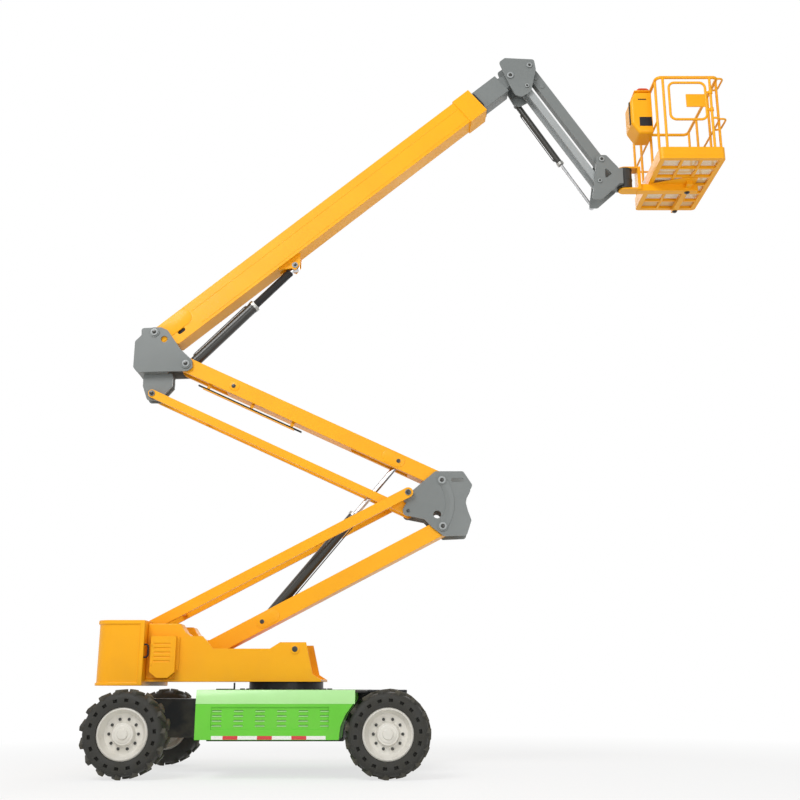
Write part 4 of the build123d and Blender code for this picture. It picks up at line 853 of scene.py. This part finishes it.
@dataclass(frozen=True)
class Wheel:
    """One wheel's rubber, with chevron lugs and a pierced sidewall, and its rim's nuts and cap."""

    name: str
    crown: float = 0.4015
    bore: float = 0.254
    half: float = 0.1575
    lug: Point = (0.134, 0.062, 0.0615)
    lug_root: float = 0.3615
    lug_middle: float = 0.07675
    lug_angle: float = radians(32)
    lug_count: int = 15
    hole_count: int = 18
    nut_count: int = 10
    nut_ring: float = 0.145
    nut_seat: float = 0.062
    cap_seat: float = 0.1122

    @property
    def body(self) -> str:
        """Give the body that carries the wheel."""
        return f"wheel_{self.name}"

    @property
    def side(self) -> Side:
        """Give the side of the machine that the wheel is on."""
        return Side.NEAR if self.name.endswith("near") else Side.FAR

    @property
    def hub(self) -> Vector:
        """Give the middle of the wheel."""
        return pivot(f"{self.body}_spin")

    def carcass(self) -> BMesh:
        """Turn the body of the tyre and sink the row of holes into its outer sidewall."""
        flank = [(0.0, 0.130), (0.006, 0.149), (0.030, 0.1545), (0.044, self.half), (0.090, self.half)]
        flank += [(0.104, 0.153), (0.124, 0.143), (0.138, 0.122), (self.crown - self.bore - 0.003, 0.08)]
        outer = [(self.bore + rise, across) for rise, across in flank]
        inner = [(radius, -across) for radius, across in reversed(outer)]
        piece = lathe(outer + [(self.crown, 0.0)] + inner + outer[:1], 2 * self.hole_count)
        mark = piece.faces.layers.int.new("hole")
        band = [f for f in piece.faces if f.calc_center_median().z > self.half - 0.001]
        band.sort(key=lambda f: f.calc_center_median().xy.angle_signed(Vector((1, 0))))
        for face in band[::2]:
            face[mark] = 1
        for width, depth in ((0.006, 0.0), (0.003, -0.004), (0.001, -0.03)):
            chosen = [f for f in piece.faces if f[mark]]
            bmesh.ops.inset_individual(
                piece, faces=chosen, thickness=width, depth=depth, use_even_offset=True
            )
            for face in piece.faces:
                face[mark] = int(face in chosen)
        return piece

    def lugs(self, form: Form) -> None:
        """Set both rows of lugs round the tyre.

        Args:
            form: The tyre's form.
        """
        across = Vector((0, 1, 0))
        for row in (-1, 1):
            for step in range(self.lug_count):
                turn = radians(270 + (step + 0.25 * row) * 360 / self.lug_count)
                out = Vector((cos(turn), 0, sin(turn)))
                basis = Matrix((across, out.cross(across), out)).transposed().to_4x4()
                spot = self.hub + out * self.lug_root + across * row * self.lug_middle
                piece = block(self.lug)
                bmesh.ops.translate(piece, vec=(0, 0, self.lug[2] / 2), verts=piece.verts[:])
                top = [v for v in piece.verts if v.co.z > self.lug[2] / 2]
                bmesh.ops.scale(piece, vec=(0.96, 0.84, 1.0), verts=top)
                rounded(piece, 0.005)
                skew = Matrix.Rotation(row * self.lug_angle, 4, "Z")
                form.take(piece, shift(spot) @ basis @ skew)

    def tyre(self) -> None:
        """Make the tyre in the frame's place; the tops of its lugs are paler, partly dust and partly a
        painted sheen.
        """
        form = Form().take(self.carcass(), along(self.hub, Vector((0, self.side, 0))))
        self.lugs(form)
        tyre = form.place(f"tyre_{self.name}_rubber", self.body, TYRE, 30.0)
        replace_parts(tyre, f"tyre_{self.name}")
        dust_and_sheen = tyre.data.attributes.new("dust_and_sheen", "FLOAT", "POINT")
        for value, vertex in zip(dust_and_sheen.data, tyre.data.vertices):
            # Paler further out from the hub: dust and a painted sheen on the lug tops.
            height = (vertex.co - self.hub).xz.length - self.crown
            value.value = min(max(0.15 + height / 0.03, 0.12), 0.9)

    def fittings(self) -> None:
        """Set the nuts and the hub cap on the rim."""
        nuts = Form()
        seat = outward(self.hub, abs(self.hub.y) + self.nut_seat, self.side)
        for step in range(self.nut_count):
            turn = Matrix.Rotation(2 * pi * step / self.nut_count, 4, "Z")
            spot = seat @ turn @ shift((self.nut_ring, 0, 0))
            nuts.take(drum(0.0155, 0.004, 0.001, 20), spot)
            nuts.take(drum(0.0125, 0.018, 0.0015, 6), spot)
        nuts.place(f"nuts_{self.name}", self.body, RAM)
        cap = lathe([(0.0, 0.0075), (0.07, 0.006), (0.084, 0.004), (0.0885, 0.0), (0.0, -0.001)], 40)
        spot = outward(self.hub, abs(self.hub.y) + self.cap_seat, self.side)
        Form().take(cap, spot).place(f"hub_cap_{self.name}", self.body, CREAM)

    def build(self) -> None:
        """Make the tyre and what sits on its rim."""
        self.tyre()
        self.fittings()


BOOM_ANGLE = radians(40)
LOWER_ARM = Beam(pivot("riser_lift"), pivot("elbow_level"))
UPPER_ARM = Beam(pivot("mast_level"), pivot("upper_riser_lift"))
BOOM = Beam(pivot("boom_lift"), pivot("boom_lift") + Vector((cos(BOOM_ANGLE), 0, sin(BOOM_ANGLE))))
JIB = Beam(pivot("jib_lift"), pivot("jib_head_level"))
BOOM_RAM = Beam(pivot("mast_level"), pivot("boom_ram_swing"))
RISER_RAM = Beam(pivot("riser_ram_swing"), at(1216.196, 3348.359))
JIB_RAM = Beam(pivot("jib_ram_swing") * Vector((1, 0, 1)), at(3628.0, 6652.0))


@dataclass(frozen=True)
class Pin:
    """One pin: the body that holds it, its place, how far its ends reach, and its radius."""

    name: str
    body: str
    place: Vector
    reach: float
    radius: float
    plain: bool = False

    def build(self) -> None:
        """Make both ends: a washer and a bolt, or only the bolt on a plain pin."""
        washers = Form()
        bolts = Form()
        for side in Side:
            seat = outward(self.place, self.reach, side)
            if not self.plain:
                washers.take(drum(self.radius, 0.006, 0.002, 40), seat)
            bolts.take(drum(self.radius * 0.56, 0.009, 0.002, 32), seat)
            bolts.take(drum(self.radius * 0.4, 0.016, 0.0015, 6), seat)
        if not self.plain:
            washers.place(f"washers_{self.name}", self.body, LIGHT_GREY)
        bolts.place(f"pin_bolts_{self.name}", self.body, RAM)


ELBOW_LINK = pivot("elbow_level") + Vector((-0.386, 0, 0.374))
MAST_LINK = pivot("mast_level") + Vector((-0.382, 0, -0.346))
JIB_LINK = pivot("jib_link_swing") + pivot("jib_head_level") - pivot("jib_lift")
PINS = (
    Pin("arm_foot", "upper_works", pivot("riser_lift"), 0.258, 0.05),
    Pin("link_foot", "upper_works", pivot("lower_link_swing"), 0.258, 0.05),
    Pin("elbow_low", "elbow_bracket", pivot("elbow_level"), 0.181, 0.043),
    Pin("elbow_up", "elbow_bracket", pivot("upper_riser_lift"), 0.181, 0.043),
    Pin("elbow_link", "elbow_bracket", ELBOW_LINK, 0.228, 0.042, True),
    Pin("upper_link", "elbow_bracket", pivot("upper_link_swing"), 0.167, 0.034, True),
    Pin("mast_arm", "mast_bracket", pivot("mast_level"), 0.181, 0.043),
    Pin("mast_boom", "mast_bracket", pivot("boom_lift"), 0.181, 0.043),
    Pin("mast_link", "mast_bracket", MAST_LINK, 0.14, 0.042, True),
    Pin("level", "jib_root", pivot("platform_level"), 0.14, 0.042),
    Pin("jib_top", "jib_root", pivot("jib_lift"), 0.14, 0.034),
    Pin("jib_link_top", "jib_root", pivot("jib_link_swing"), 0.14, 0.026),
    Pin("jib_low", "jib_head", pivot("jib_head_level"), 0.14, 0.034),
    Pin("jib_link_low", "jib_head", JIB_LINK, 0.14, 0.026),
    Pin("boom_lug", "boom_outer", pivot("boom_ram_swing"), 0.08, 0.036),
)


@dataclass(frozen=True)
class Ram:
    """Trim of one cylinder: gland, hard pipe and its fittings, over the barrel (up 1) or below it (-1)."""

    name: str
    body: str
    beam: Beam
    radius: float
    bore: float
    barrel: float
    lane: float
    up: float
    foot: float = 0.16
    mouth: float = 0.1
    stand: float = 0.014

    def build(self) -> None:
        """Make the gland ring, the pipe along the barrel and the blocks it is screwed into."""
        axis = along(self.beam.spot(0, self.lane, 0), self.beam.end - self.beam.start)
        slim = self.bore + 0.001
        wide = self.radius + 0.0075
        ring = [(slim, 0.0), (wide - 0.003, 0.0), (wide, 0.003), (wide, 0.037), (wide - 0.003, 0.04)]
        ring += [(slim, 0.04), (slim, 0.0)]
        gland = Form().take(lathe(ring, 40), axis @ shift((0, 0, self.barrel - 0.039)))
        gland.place(f"{self.name}_gland", self.body, STEEL)
        ports = (self.foot, self.barrel - self.mouth)
        skin = self.up * self.radius
        away = self.up * (self.radius + self.stand)
        path = [(ports[0], skin), (ports[0], away), (ports[1], away), (ports[1], skin * 0.98)]
        line = [self.beam.spot(ahead, self.lane, height) for ahead, height in path]
        Form().take(pipe(bent(line, 0.01), 0.006)).place(f"{self.name}_pipe", self.body, RAM)
        blocks = Form()
        for ahead in ports:
            seat = shift((ahead, self.lane, self.up * (self.radius + 0.003)))
            blocks.take(block((0.034, 0.03, 0.018), 0.003), self.beam.axes @ seat)
        blocks.place(f"{self.name}_ports", self.body, RAM)


RAMS = (
    Ram("boom_ram", "boom_ram_barrel", BOOM_RAM, 0.064, 0.05, 1.09, 0.0, 1.0),
    Ram("riser_ram", "riser_ram_barrel", RISER_RAM, 0.06, 0.0304, 1.56, 0.0, -1.0),
    Ram("jib_ram", "jib_ram_barrel", JIB_RAM, 0.038, 0.029, 1.0, 0.182, -1.0),
)


class Bellows:
    """The pleated boot on the rod of the boom cylinder."""

    start: float = 1.075
    eye: float = 0.088
    pleat: float = 0.0165
    rod: float = 0.033
    low: float = 0.0435
    high: float = 0.0488
    clamp: float = 0.0465

    def build(self) -> None:
        """Turn the pleats from the barrel's mouth to the rod's eye."""
        end = BOOM_RAM.length - self.eye
        profile = [(self.rod, self.start)]
        for step in range(int((end - self.start) / self.pleat)):
            foot = self.start + step * self.pleat
            profile += [(self.low, foot + 0.002), (self.high, foot + self.pleat / 2)]
        profile += [(self.low, end - 0.016), (self.clamp, end - 0.013), (self.clamp, end), (self.rod, end)]
        axis = along(BOOM_RAM.start, BOOM_RAM.end - BOOM_RAM.start)
        Form().take(lathe(profile, 36), axis).place("boom_bellows", "boom_ram_rod", BOOT, 60.0)


class RiserTrim:
    """Doubler plates and bolt heads on the riser arms, and the crescents on the elbow."""

    elbow_face: float = 0.1674
    arm_face: float = 0.1348
    bulge: float = 0.085
    half: float = 0.05
    thick: float = 0.006

    def crescents(self) -> None:
        """Lay a curved doubler between the elbow's two pins, on both faces."""
        low, high = pivot("elbow_level"), pivot("upper_riser_lift")
        chord = (high - low).length / 2
        radius = (chord**2 + self.bulge**2) / (2 * self.bulge)
        centre = (low + high) / 2 + Vector((self.bulge - radius, 0, 0))
        sweep = 2 * asin(chord / radius)
        form = Form()
        for side in Side:
            piece = bmesh.new()
            ends = [piece.verts.new((radius + step, 0, 0)) for step in (-self.half, self.half)]
            edge = piece.edges.new(ends)
            bmesh.ops.rotate(piece, cent=(0, 0, 0), matrix=Matrix.Rotation(sweep / 2, 3, "Y"), verts=ends)
            bmesh.ops.spin(
                piece, geom=[*ends, edge], cent=(0, 0, 0), axis=(0, 1, 0), dvec=(0, 0, 0),
                angle=-sweep, steps=28, use_merge=False, use_duplicate=False,
            )
            grown = bmesh.ops.extrude_face_region(piece, geom=piece.faces[:])
            bmesh.ops.translate(piece, vec=(0, side * self.thick, 0), verts=new_verts(grown))
            rounded(piece, 0.002)
            form.take(piece, shift((centre.x, side * self.elbow_face, centre.z)))
        form.place("elbow_crescents", "elbow_bracket", GREY)

    def doublers(self, name: str, body: str, beam: Beam, spots: Sequence[Point]) -> None:
        """Lay capsule plates with a bolt head on both faces of an arm.

        Args:
            name: The piece's name.
            body: The body that carries it.
            beam: The arm.
            spots: Place along the arm, length and radius of each plate.
        """
        plates = Form()
        bolts = Form()
        for side in Side:
            for ahead, length, radius in spots:
                face = beam.on_face(ahead, 0.0, self.arm_face, side)
                turn = Matrix.Rotation(pi if length < 0 else 0.0, 4, "Z")
                plates.take(capsule(abs(length), radius, 0.0052), face @ turn)
                bolts.take(drum(0.024, 0.006, 0.002, 28), face @ shift((0, 0, 0.004)))
        plates.place(f"{name}_doublers", body, AMBER)
        bolts.place(f"{name}_pin_ends", body, RAM)

    def build(self) -> None:
        """Make the plates of both arms and of the elbow."""
        self.crescents()
        self.doublers("lower_arm", "riser_lower", LOWER_ARM, [(1.011, 0.13, 0.072)])
        self.doublers("upper_arm", "riser_upper", UPPER_ARM, [(2.724, -0.13, 0.072), (0.62, 0.02, 0.05)])


class BoomTrim:
    """Weld seams, the rear doubler, the pads round the fly and the black fills in the boom's pockets,
    which are painted shade.
    """

    half: float = 0.135
    axis: float = -0.117
    mouth: float = 4.934
    seam_ends: tuple[float, float] = (0.5, 4.64)

    def build(self) -> None:
        """Make the boom's trim."""
        seams, doubler, pads, pocket_fills = Form(), Form(), Form(), Form()
        mouth = BOOM.axes @ shift((self.mouth, 0, self.axis))
        for side in Side:
            for up in (0.062, -0.13):
                rim = (side * self.half, self.axis + up)
                seams.take(pipe([BOOM.spot(ahead, *rim) for ahead in self.seam_ends], 0.0035, 8))
            face = BOOM.on_face(0.04, -0.055, self.half - 0.0003, side)
            doubler.take(capsule(0.33, 0.1, 0.0055), face)
            seat = shift((0, side * 0.12, 0))
            pads.take(block((0.028, 0.03, 0.2), 0.002), mouth @ seat)
            # Black capsules at the bottom of the boom's pockets: painted shade that darkens the holes.
            pocket_fills.take(capsule(0.052, 0.02, 0.012), BOOM.on_face(0.229, -0.175, 0.1045, side))
        for up in (-0.15, 0.15):
            pads.take(block((0.028, 0.16, 0.03), 0.002), mouth @ shift((0, 0, up)))
        pocket_fills.place("boom_pocket_shade_fills", "boom_outer", PLASTIC)
        seams.place("boom_seams", "boom_outer", AMBER)
        doubler.place("boom_doubler", "boom_outer", AMBER)
        pads.place("boom_pads", "boom_outer", PLASTIC)


class JibTrim:
    """Bosses on the beam and the rotator's flanges."""

    face: float = 0.0518
    bosses: tuple[float, float] = (0.16, 0.30)
    flanges: Point = (6.79, 6.9, 7.034)

    def build(self) -> None:
        """Make the jib's trim."""
        bosses = Form()
        for side in Side:
            for ahead in self.bosses:
                bosses.take(drum(0.03, 0.008, 0.002), JIB.on_face(ahead, 0.0, self.face, side))
        bosses.place("jib_bosses", "jib_upper", GREY)
        axis = pivot("platform_swing")
        rotator = Form()
        ring = [(0.08, 0), (0.0965, 0), (0.0975, 0.002), (0.0975, 0.014), (0.0965, 0.016), (0.08, 0.016)]
        for height in self.flanges:
            rotator.take(lathe(ring + ring[:1]), shift((axis.x, 0, height)))
        skin = [(0.091, 0.0), (0.0932, 0.0), (0.0932, 0.258), (0.091, 0.258)]
        rotator.take(lathe(skin + skin[:1]), shift((axis.x, 0, 6.791)))
        rotator.place("rotator_body", "jib_head", RAM)


class PlatformTrim:
    """The floor's mesh and bolts, the console's lid and panel, the gate's plate and the hoops."""

    middle: float = 4675.0
    floor: float = 6.885
    pitch: float = 0.015
    strand: tuple[float, float] = (0.0055, 0.0026)
    size: tuple[float, float] = (0.68, 1.31)

    def mesh(self) -> None:
        """Weave the floor's mesh from flat strands, with the plain strip down its middle."""
        centre = at(self.middle, 0.0)
        form = Form()
        wide, thick = self.strand
        long, deep = self.size
        across = int(long / self.pitch / 2)
        ahead = int(deep / self.pitch / 2)
        for step in range(-across, across + 1):
            spot = shift((centre.x + step * self.pitch, 0, self.floor + 0.0014))
            form.take(block((wide, deep, thick)), spot)
        for step in range(-ahead, ahead + 1):
            spot = shift((centre.x, step * self.pitch, self.floor + 0.0036))
            form.take(block((long, wide, thick)), spot)
        strip = shift((centre.x, 0, self.floor + 0.0035))
        form.take(block((long, 0.15, 0.003), 0.001), strip)
        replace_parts(form.place("floor_mesh_strands", "platform", MESH), "floor_mesh")

    def console(self) -> None:
        """Put the lid, the black panel, the strap and the controls on the console."""
        lid = Form().put(block((0.2, 0.352, 0.012), 0.005), 4188.0, 7886.0, -290.0)
        lid.place("console_lid", "platform", AMBER)
        dark = Form().put(block((0.15, 0.006, 0.12), 0.002), 4208.0, 7470.0, -462.0)
        dark.put(block((0.1, 0.004, 0.014), 0.0015), 4178.0, 7770.0, -461.5)
        dark.put(block((0.012, 0.03, 0.3), 0.004), 4032.0, 7610.0, -400.0)
        dark.put(drum(0.016, 0.07, 0.004), 4150.0, 7890.0, -190.0)
        dark.place("console_black_parts", "platform", PLASTIC)

    def gate(self) -> None:
        """Hang the blank plate on the gate and bend the hoops at the front rail."""
        plate = Form().put(block((0.229, 0.018, 0.17), 0.007, 3), 4760.0, 7620.0, -681.0)
        plate.place("gate_plate", "platform_gate", AMBER)
        hoops = Form()
        corners = ((5041.0, -655.0), (5118.0, -655.0), (5118.0, -400.0), (5041.0, -400.0))
        for height in (7930.0, 7390.0):
            path = [at(x, height, y) for x, y in corners]
            hoops.take(pipe(bent(path, 0.05), 0.012, 14))
        hoops.place("corner_hoops", "platform", AMBER)

    def bolts(self) -> None:
        """Set the two dark bolts below the floor."""
        form = Form()
        for height, y in ((6758.0, 0.0), (6790.0, 600.0)):
            seat = along(at(4775.0, height, y), Vector((0, 0, -1)))
            form.take(drum(0.022, 0.02, 0.002, 6), seat)
            form.take(drum(0.034, 0.006, 0.001), seat)
        form.place("floor_bolts", "platform", RAM)

    def build(self) -> None:
        """Make the platform's trim."""
        self.mesh()
        self.console()
        self.gate()
        self.bolts()


class ChassisTrim:
    """Louvre blades and the covers' top bands, both pale lime as painted highlight and painted sky
    reflection, reflective strips, and the slew ring's bolts and bracket.
    """

    outer: float = 1110.0
    tape_height: float = 395.0
    red_middles: Point = (-420.0, -85.0, 250.0)
    band_start: float = -770.0
    band_length: float = 1.562
    deck_top: float = 842.7
    bolt_ring: float = 488.0
    bolt_count: int = 28

    def louvres(self) -> None:
        """Set the tilted blades behind the covers' slots, in pale lime as a painted highlight."""
        blades = Form()
        for side in Side:
            tilt = Matrix.Rotation(side * radians(-38), 4, "X")
            for column in range(6):
                for row in range(4):
                    across = side * (self.outer - 17.0)
                    place = at(-560.0 + 212.0 * column, 505.0 + 46.0 * row, across)
                    blades.take(block((0.094, 0.018, 0.003), 0.001), shift(place) @ tilt)
        blades.place("louvre_blades", "chassis", PAINTED_LIGHT_GREEN)

    def bands(self) -> None:
        """Fold the pale bands over the covers' top edges and onto the deck's side; their pale lime is a
        painted reflection of the sky.
        """
        band = Form()
        corners = ((1112.0, 712.0), (1112.0, 719.0), (1092.5, 840.5), (1089.0, 844.2), (620.0, 844.2))
        for side in Side:
            piece = bmesh.new()
            fold = [piece.verts.new(at(self.band_start, z, side * y)) for y, z in corners]
            edges = [piece.edges.new(pair) for pair in zip(fold, fold[1:])]
            grown = bmesh.ops.extrude_edge_only(piece, edges=edges)
            bmesh.ops.translate(piece, vec=(self.band_length, 0, 0), verts=new_verts(grown))
            bmesh.ops.recalc_face_normals(piece, faces=piece.faces[:])
            bmesh.ops.solidify(piece, geom=piece.faces[:], thickness=0.002)
            band.take(piece)
        band.place("cover_sky_reflection_bands", "chassis", PAINTED_LIGHT_GREEN)

    def bracket(self) -> None:
        """Stand the bent bracket on the deck, beside the slew ring."""
        hook = Form()
        hook.put(block((0.19, 0.05, 0.012), 0.002), -570.0, 849.0, -560.0)
        hook.put(block((0.012, 0.05, 0.062), 0.002), -480.0, 884.0, -560.0)
        hook.place("slew_bracket", "chassis", BLACK)

    def tape(self) -> None:
        """Stick the white strip and its red fields on both covers."""
        white = Form()
        red = Form()
        for side in Side:
            face = side * (self.outer + 0.3)
            white.put(block((1.115, 0.0016, 0.034)), -47.5, self.tape_height, face)
            for middle in self.red_middles:
                red.put(block((0.145, 0.0016, 0.0342)), middle, self.tape_height, face + side * 0.7)
        white.place("tape_white", "chassis", WHITE_TAPE)
        red.place("tape_red", "chassis", RED_TAPE)

    def bolts(self) -> None:
        """Set the ring of bolts on the deck."""
        bolts = Form()
        for step in range(self.bolt_count):
            turn = 2 * pi * step / self.bolt_count
            x, y = self.bolt_ring * cos(turn), self.bolt_ring * sin(turn)
            bolts.put(drum(0.012, 0.014, 0.001, 6), x, self.deck_top, y)
        bolts.place("slew_bolts", "chassis", RAM)

    def build(self) -> None:
        """Make the chassis's trim."""
        self.louvres()
        self.bands()
        self.bracket()
        self.tape()
        self.bolts()


class TurntableTrim:
    """The counterweight's handles, the side plates' pin caps and the control box's latches."""

    weight_face: float = 606.0
    cap_reach: float = 0.5

    def build(self) -> None:
        """Make the turntable's trim."""
        handles, caps, ends, latches = Form(), Form(), Form(), Form()
        corners = ((-1436.0, 1170.0), (-1385.0, 1170.0), (-1385.0, 1300.0), (-1436.0, 1300.0))
        for side in Side:
            path = [at(x, z, side * self.weight_face) for x, z in corners]
            handles.take(pipe(bent(path, 0.035), 0.009))
            seat = outward(at(130.0, 1256.0), self.cap_reach, side)
            caps.take(drum(0.05, 0.01, 0.003, 40), seat)
            ends.take(drum(0.03, 0.014, 0.003, 32), seat)
        for height in (1110.0, 1310.0):
            latches.put(block((0.022, 0.006, 0.05), 0.002), -1352.0, height, -592.0)
        handles.place("weight_handles", "upper_works", PLASTIC)
        caps.place("side_caps", "upper_works", AMBER)
        ends.place("side_cap_ends", "upper_works", RAM)
        latches.place("box_latches", "upper_works", AMBER)


@dataclass(frozen=True)
class Studio:
    """Pale floor, soft light and the camera at the photograph's angle."""

    camera_place: Point = (-0.3195, -11.827, 0.881)
    camera_pitch: float = radians(15.24)
    lens: float = 47.25
    sensor: float = 36.0
    floor_size: float = 60.0
    floor_white: float = 0.7
    floor_fade: tuple[float, float] = (4.0, 9.0)
    sky: float = 0.42

    def camera(self) -> None:
        """Make the camera and let the scene use it."""
        data = bpy.data.cameras.new("camera")
        data.lens = self.lens
        data.sensor_width = self.sensor
        made = linked("camera", data)
        made.location = self.camera_place
        made.rotation_euler = (pi / 2 + self.camera_pitch, 0, 0)
        bpy.context.scene.camera = made

    @staticmethod
    def direct(graph: Graph) -> Value:
        """Tell the rays that see the background: the eye's own and those through gloss or glass.

        Args:
            graph: The nodes of the floor or the world.

        Returns:
            One for such a ray, nought for any other.
        """
        path = graph.node("ShaderNodeLightPath")
        kinds = ("Is Camera Ray", "Is Glossy Ray", "Is Transmission Ray")
        camera, gloss, through = (Value(graph, path.outputs[kind]) for kind in kinds)
        return (camera + gloss + through) > 0.5

    def floor(self) -> None:
        """Make the pale floor, which keeps the shadow and turns white further out."""
        form = bmesh.new()
        bmesh.ops.create_circle(form, cap_ends=True, segments=96, radius=self.floor_size / 2)
        data = bpy.data.meshes.new("floor")
        form.to_mesh(data)
        form.free()
        material = bpy.data.materials.new("floor_paper")
        material.use_nodes = True
        graph = Graph(material.node_tree)
        far = graph.value("ShaderNodeVectorMath", "Value", {"operation": "LENGTH"}, {0: graph.place()})
        near = 1 - graph.ramp(far, *self.floor_fade)
        white = self.direct(graph) * (1 - near * (1 - self.floor_white))
        paper = graph.value("ShaderNodeBsdfDiffuse", 0, None, {"Color": PAPER})
        glow = graph.value("ShaderNodeEmission", 0, None, {"Color": WHITE, "Strength": 1.0})
        mixed = graph.value("ShaderNodeMixShader", 0, None, {0: white, 1: paper, 2: glow})
        graph.node("ShaderNodeOutputMaterial", None, {"Surface": mixed})
        data.materials.append(material)
        linked("floor", data)

    def sky_light(self) -> None:
        """Make the world: white to the eye and in gloss, soft light on the object."""
        world = bpy.data.worlds.new("studio")
        bpy.context.scene.world = world
        world.use_nodes = True
        graph = Graph(world.node_tree)
        strength = self.direct(graph) * (1.0 - self.sky) + self.sky
        light = graph.value("ShaderNodeBackground", 0, None, {"Color": WHITE, "Strength": strength})
        graph.node("ShaderNodeOutputWorld", None, {"Surface": light})

    def lamp(self, name: str, place: Point, aim: float, size: float, watts: float) -> None:
        """Make one soft lamp that points at the machine.

        Args:
            name: Its name.
            place: Where it hangs.
            aim: Height over the frame's origin that it points at.
            size: Side of its square face.
            watts: Its power.
        """
        data = bpy.data.lights.new(name, "AREA")
        data.size = size
        data.energy = watts
        made = linked(name, data)
        made.location = place
        run = Vector((0.0, 0.0, aim)) - Vector(place)
        made.rotation_euler = run.to_track_quat("-Z", "Y").to_euler()

    def build(self) -> None:
        """Make the whole studio."""
        bpy.context.scene.view_settings.view_transform = "Standard"
        self.camera()
        self.floor()
        self.sky_light()
        self.lamp("key", (-7.0, -11.0, 13.0), 3.5, 7.0, 1350.0)
        self.lamp("front", (5.0, -14.0, 5.0), 4.0, 8.0, 480.0)
        self.lamp("back", (2.0, 14.0, 11.0), 3.0, 8.0, 620.0)


def main() -> None:
    """Build the studio, then the machine piece by piece."""
    logging.basicConfig(level=logging.INFO, format="%(name)s: %(message)s")
    wheels = [Wheel(name) for name in ("steer_near", "steer_far", "fixed_near", "fixed_far")]
    trims = (Bellows(), RiserTrim(), BoomTrim(), JibTrim(), PlatformTrim(), ChassisTrim(), TurntableTrim())
    for part in (Studio(), Plates(), *wheels, *PINS, *RAMS, *trims):
        part.build()
    bpy.context.view_layer.update()


if __name__ == "__main__":
    main()
